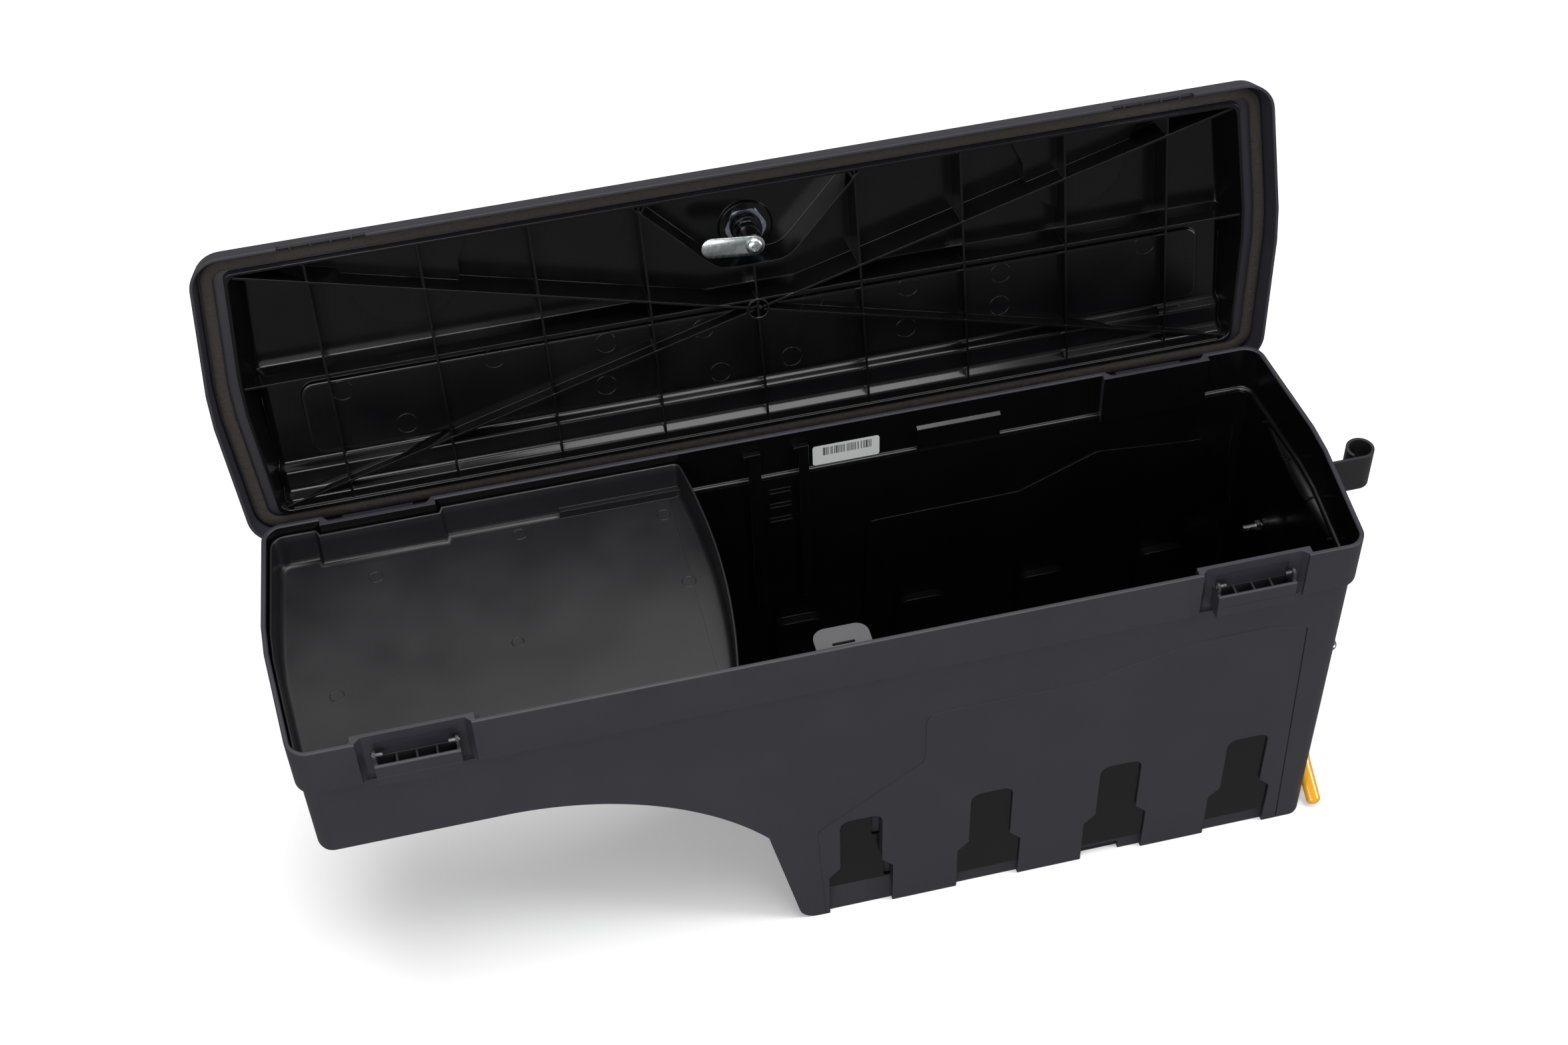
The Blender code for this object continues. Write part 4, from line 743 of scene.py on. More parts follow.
tubDetail = {
    "panel": [(-0.0222, 0.0010), (0.4562, 0.0010), (0.4467, 0.3065), (0.4052, 0.3171), (0.3415, 0.3167),
              (0.2560, 0.2985), (0.2440, 0.2905), (0.0772, 0.2904), (0.0764, 0.2198), (-0.0291, 0.1415)],
    "panelRound": [0.0, 0.0, 0.008, 0.010, 0.020, 0.012, 0.012, 0.012, 0.015, 0.010],
    "panelProud": 0.0005,
    "groove": [(0.4563, 0.0030), (0.4577, 0.0030), (0.4483, 0.3050), (0.4469, 0.3050)],
    "grooveDepth": 0.0012,
    "inside": [(0.0825, 0.020), (0.4450, 0.020), (0.4450, 0.3040), (0.4270, 0.3037), (0.3287, 0.3141),
               (0.2485, 0.2777), (0.0895, 0.2758)],
    "insideRound": [0.0, 0.0, 0.006, 0.010, 0.010, 0.012, 0.010],
    "insideProud": 0.0012,
    "padX": (0.1402, 0.2250),  # pad over the inner ledge
    "padZ": (-0.0540, -0.0250),  # lower edge of its face and its top, from the rim
    "railX": ((-0.0289, -0.0167), (0.0208, 0.0309)),
    "railZ": (-0.2300, -0.0140),
    "railProud": 0.0035,
    "slotX": (-0.0097, 0.0127),
    "slotFirst": -0.0735,
    "slotPitch": -0.0200,
    "pocketSteps": ((0.0133, 0.0213, 0.1045, 0.1480), (0.0257, 0.0326, 0.0320, 0.0625)),
    "pocketDeeper": 0.0034,
    "markX": (-0.0140, 0.0070),
    "markZ": 0.1400,
    "rollY": (-0.0980, 0.1000),
    "rollX": 0.4905,
    "rollZ": -0.0600,
    "rollHalf": (0.0040, 0.0125),
    "finY": (-0.0800, 0.0545),  # first fin and pitch
}


def leaned(obj):  # follow the draft of the lower wall
    reach = tubSizes["boxHeight"] - tubSizes["skirtDepth"] / 2
    for vert in obj.data.vertices:
        vert.co.y -= math.copysign(tubSizes["draft"] * (1 - vert.co.z / reach), vert.co.y)
    return obj


def hingeSpots():
    return [(x, side) for side in (-1.0, 1.0) for x in (-hingeSizes["hingeX"], hingeSizes["hingeX"])]


def pocketTool(x, side):  # set the rim band in around one hinge
    face = tubSizes["boxWidth"] / 2
    wide = hingeSizes["pocketHalf"] + hingeSizes["pocketFlare"]
    half = hingeSizes["pocketHalf"]
    deep = hingeSizes["pocketIn"]
    sharp = [(x - wide, side * (face + 0.02)), (x - wide, side * (face - deep * 0.3)),
             (x - half, side * (face - deep)),
             (x + half, side * (face - deep)), (x + wide, side * (face - deep * 0.3)),
             (x + wide, side * (face + 0.02))]
    shape = rounded(sharp, [0, 0.002, 0.003, 0.003, 0.002, 0], 5)
    return slab(shape, tubSizes["boxHeight"] - tubSizes["skirtDepth"] - 0.001,
                tubSizes["boxHeight"] + 0.02)


def troughParts(x, side):  # the solids that a trough adds and the ones that it loses
    face = tubSizes["boxWidth"] / 2
    low = tubSizes["boxHeight"] - hingeSizes["troughBottom"]
    high = tubSizes["boxHeight"] - hingeSizes["troughTop"]
    back = face - hingeSizes["pocketIn"]
    out = face + hingeSizes["troughOut"]
    half = hingeSizes["troughHalf"]
    inner = half - hingeSizes["troughWall"]
    axisY = side * (face + hingeSizes["axisOut"])
    axisZ = tubSizes["boxHeight"] - hingeSizes["axisDrop"]
    section = [(side * (back - 0.002), low), (side * out, low), (side * out, high),
               (side * (back - 0.002), high)]
    solids = [slabX(rounded(section, [0, 0.0016, 0.0010, 0], 4), x - half, x + half)]
    ears = []
    holes = []
    earR = hingeSizes["earR"]
    for end in (-1, 1):
        xs = sorted((x + end * inner, x + end * half))
        top = [(axisY + earR * math.cos(math.pi * k / 16), axisZ + earR * math.sin(math.pi * k / 16))
               for k in range(17)]
        ear = [(axisY + earR, high - 0.004)] + top + [(axisY - earR, high - 0.004)]
        ears.append(slabX(ear, xs[0] + 0.0002, xs[1] - 0.0002))
        bore = circle(hingeSizes["stubR"] + hingeSizes["boreGap"], 20, (axisY, axisZ))
        holes.append(slabX(bore, xs[0] - 0.001, xs[1] + 0.001))
    drop = hingeSizes["troughRibDrop"]
    mouth = box((x - inner, x + inner), sideSpan(side, back - 0.0006, out - hingeSizes["troughWall"]),
                (high - drop, axisZ + earR + 0.002))
    cells = []
    span = inner - 0.0003
    width = (2 * span - 3 * hingeSizes["troughRib"]) / 4
    for k in range(4):
        start = x - span + k * (width + hingeSizes["troughRib"])
        cells.append(box((start, start + width),
                         sideSpan(side, back - 0.0003, out - hingeSizes["troughWall"] - 0.0003),
                         (low + hingeSizes["troughWall"], high - drop + 0.001)))
    line = box((x - half - 0.001, x + half + 0.001), sideSpan(side, out - 0.0004, out + 0.01),
               (low + 0.0118, low + 0.0124))
    for k in (-1, 0, 1):
        holes.append(box((x + 0.008 + k * 0.022, x + 0.0145 + k * 0.022),
                         sideSpan(side, back - 0.0025, back + 0.02),
                         (low - 0.0034, low - 0.0020)))
    return solids, ears, holes, mouth, cells, line


def recessTools():  # bulges, hollows, chins, side pockets and marks of all the recesses
    face = tubSizes["boxWidth"] / 2 - tubSizes["skirtStep"] - tubSizes["draft"]
    wall = tubSizes["wall"]
    depth = recessSizes["recessDepth"]
    chin = recessSizes["chinHeight"]
    half = recessSizes["recessBase"] / 2 - 0.0003
    found = {"bulges": [], "hollows": [], "chins": [], "pockets": []}
    for side in (-1.0, 1.0):
        for k in range(recessSizes["recessCount"]):
            x = recessSizes["recessFirstX"] + k * recessSizes["recessPitch"]
            ys = sideSpan(side, face - depth - wall, face - wall / 2)
            found["bulges"].append(slabY(recessOutline(x, tubSizes["floor"] / 2, wall), ys[0], ys[1]))
            ys = sideSpan(side, face - depth, face + 0.02)
            found["hollows"].append(slabY(recessOutline(x, chin), ys[0], ys[1]))
            slope = [(side * (face - depth + 0.0003), chin + 0.0005),
                     (side * (face + 0.02), chin + 0.0005),
                     (side * (face + 0.02), -0.001), (side * (face - recessSizes["chinDepth"]), -0.001)]
            found["chins"].append(slabX(slope, x - half, x + half))
            ys = sideSpan(side, face - depth - tubDetail["pocketDeeper"], face - depth + 0.004)
            for near, far, low, high in tubDetail["pocketSteps"]:
                shape = rounded([(x + near, low), (x + far, low), (x + far, high), (x + near, high)],
                                [0.003, 0, 0, 0.001], 4)
                found["pockets"].append(slabY(shape, ys[0], ys[1]))
            marks = tubDetail["markX"]
            found["pockets"].append(box((x + marks[0], x + marks[1]), ys,
                                        (tubDetail["markZ"] - 0.0006, tubDetail["markZ"] + 0.0006)))
    x = recessSizes["recessFirstX"] + 2 * recessSizes["recessPitch"] - recessSizes["recessBase"] / 2 + 0.001
    found["notch"] = box((x, x + recessSizes["notchWidth"]), (-face - 0.02, -face + depth * 0.9),
                         (-0.02, recessSizes["notchHeight"]))
    return found


def boltPlaces():  # Y and Z of the four bracket bolts
    upperZ = tubSizes["boxHeight"] - bracketSizes["upperBoltDrop"]
    return {"upper_front": (-bracketSizes["upperBoltY"], upperZ),
            "upper_back": (bracketSizes["upperBoltY"], upperZ),
            "lower_front": (-bracketSizes["lowerBoltY"], bracketSizes["lowerBoltZ"]),
            "lower_back": (bracketSizes["lowerBoltY"], bracketSizes["lowerBoltZ"])}


def makeTub():
    high = tubSizes["boxHeight"]
    half = tubSizes["boxWidth"] / 2
    step = tubSizes["skirtStep"]
    wall = tubSizes["wall"]
    tub = slabY(sideOutline(0.0), -half * 2, half * 2, "tubShell")
    plan = ((-0.001, tubSizes["draft"]), (high - tubSizes["skirtDepth"] / 2, 0.0))
    keep(tub, loft([[(x, y, z) for x, y in rimOutline(step + extra)] for z, extra in plan]))
    panels = []
    for side in (-1.0, 1.0):
        ys = sideSpan(side, half - step - 0.002, half - step + tubDetail["panelProud"])
        panels.append(leaned(slabY(rounded(tubDetail["panel"], tubDetail["panelRound"], 6), ys[0],
                                   ys[1])))
    add(tub, together(panels))
    grooves = []
    for side in (-1.0, 1.0):
        ys = sideSpan(side, half - step - tubDetail["grooveDepth"], half - step + 0.01)
        grooves.append(leaned(slabY(tubDetail["groove"], ys[0], ys[1])))
    cut(tub, together(grooves))
    band = [(step + 0.002, high - tubSizes["skirtDepth"]), (0.0, high - tubSizes["skirtDepth"]),
            (0.0, high), (tubSizes["rimWall"] + 0.001, high)]
    band = eased(band, [0, 0.0014, 0.0011, 0], 4)
    add(tub, loft([[(x, y, z) for x, y in rimOutline(inward)] for inward, z in band]))
    cavity = slabY(sideOutline(tubSizes["floor"]), -half * 2, half * 2)
    plan = ((0.0, tubSizes["draft"]), (high + 0.01, 0.0))
    keep(cavity, loft([[(x, y, z) for x, y in rimOutline(step + wall + extra)] for z, extra in plan]))
    ledge = high - tubSizes["skirtDepth"] + wall
    rim = tubSizes["rimWall"]
    inner = [(step + wall + 0.002, ledge - 0.0034), (step + wall, ledge - 0.0030), (step + wall, ledge),
             (rim, ledge + 0.0003),
             (rim, high - 0.0010), (rim - 0.0009, high), (rim - 0.0009, high + 0.02)]
    inner = eased(inner, [0, 0, 0.0024, 0.0011, 0, 0, 0], 6)
    add(cavity, loft([[(x, y, z) for x, y in rimOutline(inward)] for inward, z in inner]))
    blocks = []
    reach = hingeSizes["pocketHalf"] + hingeSizes["pocketFlare"] + hingeSizes["pocketWall"]
    for x, side in hingeSpots():
        ys = sideSpan(side, half - hingeSizes["pocketIn"] - hingeSizes["pocketWall"], half + 0.02)
        blocks.append(box((x - reach, x + reach), ys,
                          (high - tubSizes["skirtDepth"] - wall, high + 0.04)))
    cut(cavity, together(blocks))
    cut(tub, cavity)
    cut(tub, together([pocketTool(x, side) for x, side in hingeSpots()]))
    parts = [troughParts(x, side) for x, side in hingeSpots()]
    add(tub, together([solid for one in parts for solid in one[0]]))
    add(tub, together([ear for one in parts for ear in one[1]]))
    cut(tub, together([one[3] for one in parts]))
    cut(tub, together([cell for one in parts for cell in one[4]]))
    cut(tub, together([hole for one in parts for hole in one[2]]))
    cut(tub, together([one[5] for one in parts]))
    tools = recessTools()
    add(tub, together(tools["bulges"]))
    cut(tub, together(tools["hollows"]))
    cut(tub, together(tools["chins"]))
    cut(tub, together(tools["pockets"]))
    cut(tub, tools["notch"])
    holes = []
    for y, z in boltPlaces().values():
        hole = circle(bracketSizes["boltR"] + hingeSizes["boreGap"], 16, (y, z))
        holes.append(slabX(hole, endX(y) - 0.03, endX(y) + 0.01))
    cut(tub, together(holes))
    return tub


def paintInsideGlossAndShade(tub):  # the polished inner face of the mould gives glossier walls inside; their near-black colour is painted shade inside the box and in the recess side pockets
    high = tubSizes["boxHeight"]
    for face in tub.data.polygons:
        at = face.center
        out = face.normal
        below = at.z < high - 0.0025
        inward = out.y * at.y < -0.3 * abs(at.y) and abs(at.y) < 0.1360
        inwardEnd = out.x * at.x < -0.3 * abs(at.x) and abs(at.x) < 0.4965
        floor = out.z > 0.3 and abs(at.y) < 0.1345 and abs(at.x) < 0.4955
        deep = abs(at.y) < tubSizes["boxWidth"] / 2 - tubSizes["skirtStep"] - recessSizes["recessDepth"] - 0.0020
        side = abs(at.y) < 0.1220 or at.z > high - tubSizes["skirtDepth"]
        bay = (at.x - recessSizes["recessFirstX"]) % recessSizes["recessPitch"]
        bay = bay - recessSizes["recessPitch"] if bay > recessSizes["recessPitch"] / 2 else bay
        bulge = at.z > 0.006 and abs(at.y) < 0.1312 and (out.z > 0.3 and at.z > 0.04
                                                         or out.x * bay > 0.3 * abs(bay))
        # recess side pockets: near-black colour as painted shade of their narrow depth
        pocket = abs(at.y) < 0.1250 and abs(at.y) > 0.1208 and at.z < 0.16 and out.y * at.y >= 0
        if below and ((inward and (side or abs(at.y) > 0.1295)) or inwardEnd and abs(at.y) < 0.1345
                      and deep
                      or floor and side or bulge or pocket):
            # chosen faces get the inner colour: glossier, and darkened as painted shade
            face.material_index = 1


def insideDetail():  # pads, rails, slot lips, raised panel, end roll and fins inside the tub
    high = tubSizes["boxHeight"]
    wallY = tubSizes["boxWidth"] / 2 - tubSizes["skirtStep"] - tubSizes["wall"]
    parts = []
    padX = tubDetail["padX"]
    mid, top = (high + drop for drop in tubDetail["padZ"])
    pad = [(wallY + 0.0025, mid), (wallY + 0.0004, mid), (wallY + 0.0004, top),
           (wallY + 0.006, top + 0.004),
           (wallY + 0.006, mid + 0.0085), (wallY + 0.0025, mid + 0.0065)]
    parts.append(slabX(pad, padX[0], padX[1]))
    zs = [high + drop for drop in tubDetail["railZ"]]
    for x0, x1 in tubDetail["railX"]:
        rail = [(x0, wallY + 0.0025), (x0, wallY - tubDetail["railProud"]),
                (x1, wallY - tubDetail["railProud"]), (x1, wallY + 0.0025)]
        parts.append(slab(rounded(rail, [0, 0.001, 0.001, 0], 3), zs[0], zs[1]))
        parts.append(box((x0 - 0.0050, x0 + 0.002),
                         (wallY - tubDetail["railProud"] + 0.0006, wallY + 0.005),
                         (zs[1] - 0.0040, zs[1] - 0.0010)))
    panel = rounded(tubDetail["inside"], tubDetail["insideRound"], 6)
    for side in (-1.0, 1.0):
        ys = sideSpan(side, wallY - tubDetail["insideProud"], wallY + 0.002)
        parts.append(leaned(slabY(panel, ys[0], ys[1])))
    y0, y1 = tubDetail["rollY"]
    thin, thick = tubDetail["rollHalf"]
    rings = []
    for k in range(33):
        t = k / 32
        y = y0 + (y1 - y0) * t
        swell = thin + (thick - thin) * math.sin(math.pi * t) ** 1.4
        if k in (0, 32):
            swell = 0.0006
        centre = tubDetail["rollX"] + 0.0035 * math.sin(math.pi * t) ** 2
        most = endX(y, tubSizes["skirtStep"]) - 0.0020
        rings.append([(min(centre + swell * math.cos(a), most), y,
                       high + tubDetail["rollZ"] + 0.0065 * math.sin(a) * min(1.0, swell / thin))
                      for a in (2 * math.pi * j / 28 for j in range(28))])
    parts.append(loft(rings))
    first, pitch = tubDetail["finY"]
    bars = {"Count": 4, "Start": (tubDetail["rollX"] - 0.0030, first, high + tubDetail["rollZ"] + 0.0005),
            "Step": (0.0, pitch, 0.0), "Size": (0.0130, 0.0016, 0.0130), "Finish": innerPlasticGlossAndShade}
    parts.append(grow("bars", bars))
    lips = {"Count": 3,
            "Start": (sum(tubDetail["slotX"]) / 2, wallY - 0.0004, high + tubDetail["slotFirst"]),
            "Step": (0.0, 0.0, tubDetail["slotPitch"]), "Size": (0.0220, 0.0024, 0.0014),
            "Finish": innerPlasticGlossAndShade}
    parts.append(grow("bars", lips))
    lips["Start"] = (sum(tubDetail["slotX"]) / 2, wallY - 0.0002, high + tubDetail["slotFirst"] + 0.0048)
    lips["Size"] = (0.0220, 0.0016, 0.0010)
    parts.append(grow("bars", lips))
    return joined("tubInsideDetail", [(0, part) for part in parts], [innerPlasticGlossAndShade])


def makeStrike():  # tongue under the rim for the cam, with a slot and a leg down the wall
    wall = -(tubSizes["boxWidth"] / 2 - tubSizes["rimWall"] - tubSizes["fitGap"])
    top = tubSizes["boxHeight"] - stripSizes["strikeDrop"]
    half = stripSizes["strikeWidth"] / 2
    thick = stripSizes["strikeThick"]
    end = wall + stripSizes["strikeReach"]
    shape = rounded([(-half, wall), (half, wall), (half, end), (-half, end)], [0, 0, 0.012, 0.012], 10)
    strike = slab(shape, top - thick, top, "strikeTongue", greyCoat)
    leg = half - 0.003
    add(strike, box((-leg, leg), (wall + 0.0002, wall + thick),
                    (top - stripSizes["strikeLeg"], top - thick / 2)))
    longSide, shortSide = stripSizes["strikeSlot"]
    start = wall + thick + 0.001
    slot = [(-longSide / 2, start), (longSide / 2, start), (longSide / 2, start + shortSide),
            (-longSide / 2, start + shortSide)]
    cut(strike, slab(rounded(slot, [0.0012] * 4, 5), top - 0.02, top + 0.02))
    smooth(strike)
    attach(strike, "tub")
    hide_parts("strike_tab")


def makeLabel():
    wall = tubSizes["boxWidth"] / 2 - tubSizes["rimWall"] - tubSizes["fitGap"]
    top = tubSizes["boxHeight"] - stripSizes["labelDrop"]
    half = stripSizes["labelSize"][0] / 2
    x = stripSizes["labelX"]
    sharp = [(x - half, top - stripSizes["labelSize"][1]), (x + half, top - stripSizes["labelSize"][1]),
             (x + half, top), (x - half, top)]
    label = slabY(rounded(sharp, [0.003] * 4, 8), wall - stripSizes["labelThick"], wall,
                  "serialLabelBlank",
                  printedLabel(x, top))
    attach(label, "tub")
    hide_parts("label")


def dressTub():
    tub = makeTub()
    tub.data.materials.clear()
    tub.data.materials.append(outerPlastic)
    tub.data.materials.append(innerPlasticGlossAndShade)
    paintInsideGlossAndShade(tub)
    smooth(tub)
    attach(tub, "tub")
    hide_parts("tub")
    detail = insideDetail()
    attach(detail, "tub")
    makeStrike()
    makeLabel()
    print("tub", len(tub.data.polygons), "faces")


# Lid.
lidSizes = {
    "lidOverhang": 0.0108,  # lid flange outside the rim
    "lidDrop": 0.0120,  # lid flange below the rim top when closed
    "lidSkirt": 0.0230,  # height of the flange
    "lidSkirtDraft": 0.0040,
    "lidWall": 0.0030,
    "domeSide": 0.0120,  # raised middle of the lid, inside the rim face, long sides
    "domeEnd": 0.0190,  # the same at the two ends
    "domeTop": 0.0370,  # above the rim top
    "domeDraft": 0.0040,
    "lipLow": 0.0004,  # inner lip's edge, above the rim top
    "ribLow": 0.0024,  # lower edge of the ribs, above the rim top
    "ribWall": 0.0022,
    "crossRibPitch": 0.1005,
    "crossRibCount": 4,  # on each side of the middle
    "longRibY": -0.0095,
    "bossR": 0.0110,
    "cupX": 0.3180,
    "cupY": -0.0880,
    "cupR": 0.0480,
    "cupDepth": 0.0100,
    "notchClearance": 0.0015,
    "flangeNotch": 0.0070,  # depth of the flange's relief over a trough
    "gasketWidth": 0.0125,
    "gasketThick": 0.0075,
    "gasketCentre": 0.0035,  # middle of the seal, inside the rim face
}

lockSizes = {
    "lockY": -0.0720,
    "lockBodyR": 0.0145,
    "lockNeckR": 0.0100,
    "lockNeckDrop": 0.0120,  # underside of the lid's top down to where the body narrows
    "lockCapR": 0.0185,
    "lockCapThick": 0.0030,
    "plugR": 0.0070,
    "nutAcross": 0.0365,
    "nutThick": 0.0045,
    "camWidth": 0.0200,
    "camReach": 0.0495,  # lock axis to the far end of the cam
    "camThick": 0.0022,
    "camGap": 0.0008,  # cam below the strike when locked
    "camTilt": math.radians(5.8),
    "screwHeadR": 0.0080,
    "screwHeadThick": 0.0042,
    "screwR": 0.0022,
    "wellWallY": 0.0260,  # lock axis to the far wall of the well
    "wellMouth": 0.1105,  # half width of the well at the lip
    "wellBase": 0.0330,  # half width of the well's far wall
    "wellCornerR": 0.0300,
}


lidDetail = {
    "cornerSmall": 0.010,  # smallest plan radius of the dome's inner corners
    "endSlope": 0.0130,  # how far the inner end walls lean in up to the ceiling
    "levels": [(-0.0140, 0.0345), (-0.0124, 0.0335), (-0.0108, 0.0192), (-0.0102, 0.0185),
               (0.0030, 0.0185),
               (0.0830, 0.0185), (0.0855, 0.0165), (0.0885, 0.0110), (0.0905, 0.0100), (0.1085, 0.0100),
               (0.1110, 0.0088), (0.1155, 0.0030), (0.1260, 0.0030), (0.1260, 0.0345)],
    "levelEnd": 0.4620,
    "panel": (-0.4305, 0.4397, 0.0024, 0.0790),  # long panel on the hinge side
    "panelHeight": 0.0150,
    "panelRound": 0.0140,
    "counterLeg": ((0.1000, -0.1155), (0.0930, -0.1262)),
    "wellRingR": 0.0260,
    "shoulder": 0.0650,
    "markRadius": 0.0100,
    "marks": [(-0.2915, -0.082, 0.033), (0.2908, -0.0816, 0.033), (-0.3925, 0.0156, 0.015),
              (-0.3400, 0.0620, 0.015),
              (-0.2500, 0.0100, 0.015), (-0.1500, 0.0600, 0.015), (-0.1450, 0.0150, 0.015),
              (-0.0520, 0.0180, 0.015),
              (0.0300, 0.0650, 0.015), (0.0550, 0.0080, 0.015), (0.1440, 0.0560, 0.015),
              (0.1480, 0.0120, 0.015),
              (0.2400, 0.0150, 0.015), (0.2380, 0.0500, 0.015), (0.3850, 0.0120, 0.015),
              (-0.0400, 0.0680, 0.015)],
    "notchBars": (4, 0.3560, 0.0180),
}


def lidAxis():
    return (0.0, tubSizes["boxWidth"] / 2 + hingeSizes["axisOut"],
            tubSizes["boxHeight"] - hingeSizes["axisDrop"])


def lidOutline(inward, endInward, smallest):  # rim plan with larger corners left at deep insets
    each = [inward, endInward, endInward, endInward] * 2
    corner = max(tubSizes["cornerR"] - inward, smallest)
    radii = [corner, corner, tubSizes["bendR"], tubSizes["bendR"]] * 2
    return rounded(inset(sharpRim(), each), radii, tubSizes["cornerSteps"])


def lidShell():  # flange, shelf, dome, lip and channel swept round the rim as one closed skin
    top = tubSizes["boxHeight"]
    low = top - lidSizes["lidDrop"]
    shelf = low + lidSizes["lidSkirt"]
    dome = top + lidSizes["domeTop"]
    wall = lidSizes["lidWall"]
    out = -lidSizes["lidOverhang"]
    lean = lidSizes["lidSkirtDraft"]
    side = lidSizes["domeSide"]
    end = lidSizes["domeEnd"]
    draft = lidSizes["domeDraft"]
    slope = lidDetail["endSlope"]
    points = [(side + draft + 0.010, end + draft + 0.010, dome), (side + draft, end + draft, dome),
              (side, end, shelf),
              (out + lean, out + lean, shelf), (out, out, low), (out + wall, out + wall, low),
              (out + wall + lean, out + wall + lean, shelf - wall), (side, end, shelf - wall),
              (side, end, top + lidSizes["lipLow"]), (side + wall, end + wall, top + lidSizes["lipLow"]),
              (side + wall + draft, end + wall + slope, dome - wall),
              (side + wall + draft + 0.010, end + wall + slope + 0.010, dome - wall)]
    cuts = [0, 0.0035, 0.0030, 0.0025, 0.0007, 0.0007, 0.0008, 0.0008, 0.0008, 0.0008, 0.0050, 0]
    rings = []
    for inward, endInward, z in eased(points, cuts, 5):
        rings.append([(x, y, z)
                      for x, y in lidOutline(inward, endInward,
                                             lidDetail["cornerSmall"] if z > shelf
                                             or inward > side + 0.001 else 0.004)])
    return loft(rings)


def cupShape(x, extra=0.0):  # half-round finger cup with S-shaped shoulders out to the front wall
    radius = lidSizes["cupR"] + extra
    front = -(tubSizes["boxWidth"] / 2 - lidSizes["domeSide"] - lidSizes["domeDraft"] * 0.3)
    centre = lidSizes["cupY"]
    wide = lidDetail["shoulder"] + extra
    half = [(wide, front), (wide - 0.004, front + 0.006), (radius + 0.004, centre - 0.012),
            (radius, centre - 0.004)]
    right = eased([(p[0], p[1]) for p in half], [0, 0.004, 0.006, 0], 5)
    arc = [(radius * math.cos(math.pi * k / 28), centre + radius * math.sin(math.pi * k / 28))
           for k in range(1, 28)]
    flat = [(p[0], p[1]) for p in right] + arc + [(-p[0], p[1]) for p in reversed(right)]
    return [(x + a, b) for a, b in flat]


def lidRibs():  # cross ribs grown in a row, and the long rib, diagonals, boss and lock well
    top = tubSizes["boxHeight"]
    low = top + lidSizes["ribLow"]
    high = top + lidSizes["domeTop"] - lidSizes["lidWall"] / 2
    halfY = tubSizes["boxWidth"] / 2 - lidSizes["domeSide"] - lidSizes["lidWall"] / 2
    halfX = tubSizes["boxLength"] / 2 - tubSizes["endBulge"] - lidSizes["domeEnd"] - lidSizes["lidWall"] / 2
    longHalf = tubSizes["boxLength"] / 2 - lidSizes["domeEnd"] - lidSizes["lidWall"] / 2
    thick = lidSizes["ribWall"]
    pitch = lidSizes["crossRibPitch"]
    count = lidSizes["crossRibCount"]
    parts = []
    for sign in (-1, 1):
        row = {"Count": count, "Start": (sign * pitch, 0.0, (low + high) / 2),
               "Step": (sign * pitch, 0.0, 0.0),
               "Size": (thick, halfY * 2, high - low), "Finish": ribPlastic}
        parts.append(grow("bars", row))

    def rib(ax, ay, bx, by, drop=0.0):
        across = Vector((ay - by, bx - ax)).normalized() * (thick / 2)
        a = Vector((ax, ay))
        b = Vector((bx, by))
        corners = [tuple(a - across), tuple(b - across), tuple(b + across), tuple(a + across)]
        parts.append(slab(corners, low + drop, high))

    rib(-longHalf, lidSizes["longRibY"], longHalf, lidSizes["longRibY"], 0.0003)
    for sx in (-1, 1):
        for sy in (-1, 1):
            rib(sx * 0.0050, sy * 0.0014, sx * (halfX - 0.004), sy * (halfY - 0.004), -0.0002)
    well = lockSizes["lockY"] + lockSizes["wellWallY"]
    rib(0.0, well, 0.0, halfY, 0.0001)
    boss = lidSizes["bossR"]
    ring = [(boss, high), (boss, low - 0.0008), (boss - 0.0004, low - 0.0012),
            (boss - thick + 0.0004, low - 0.0012),
            (boss - thick, low - 0.0008), (boss - thick, high - 0.012)]
    ring.insert(0, (0.0004, high))
    ring.append((0.0004, high - 0.012))
    parts.append(lathe(ring, (0.0, 0.0), 40))
    mouthY = -halfY - 0.0006
    corners = [(-lockSizes["wellMouth"], mouthY), (lockSizes["wellMouth"], mouthY),
               (lockSizes["wellBase"], well), (-lockSizes["wellBase"], well)]
    radii = [0, 0, lockSizes["wellCornerR"], lockSizes["wellCornerR"]]
    outer = rounded(corners, radii, 12)
    inner = rounded(inset(corners, thick),
                    [0, 0, lockSizes["wellCornerR"] - thick, lockSizes["wellCornerR"] - thick], 12)
    outline = outer[1:] + [outer[0], inner[0]] + list(reversed(inner[1:]))
    parts.append(slab(outline, low - 0.0006, high))
    for sx in (-1, 1):
        (ax, ay), (bx, by) = lidDetail["counterLeg"]
        rib(sx * ax, ay, sx * bx, by, 0.0002)
    collar = lidDetail["wellRingR"]
    under = top + lidSizes["domeTop"] - lidSizes["lidWall"]
    profile = [(0.0004, under + 0.001), (collar, under + 0.001), (collar, under - 0.0012),
               (collar - 0.0016, under - 0.0028),
               (collar - 0.0050, under - 0.0028), (0.0004, under - 0.0028)]
    parts.append(lathe(list(reversed(profile)), (0.0, lockSizes["lockY"]), 48))
    return parts


def ribRoom():  # room inside the lid's skin, less the finger cups, that the ribs are trimmed to
    top = tubSizes["boxHeight"]
    dome = top + lidSizes["domeTop"]
    half = lidSizes["lidWall"] / 2
    side = lidSizes["domeSide"] + half
    end = lidSizes["domeEnd"] + half
    draft = lidSizes["domeDraft"]
    shelf = top - lidSizes["lidDrop"] + lidSizes["lidSkirt"]
    profile = [(0.0, top - 0.01), (0.0, shelf), (draft * 0.78, dome - 0.0060), (draft, dome - 0.0042),
               (draft + 0.0035, dome - half)]
    room = loft([[(x, y, z) for x, y in lidOutline(side + inward, end + inward, lidDetail["cornerSmall"])]
                 for inward, z in profile])
    for sign in (-1, 1):
        cut(room, slab(cupShape(sign * lidSizes["cupX"], half), dome - lidSizes["cupDepth"] - half,
                       dome + 0.02))
    return room


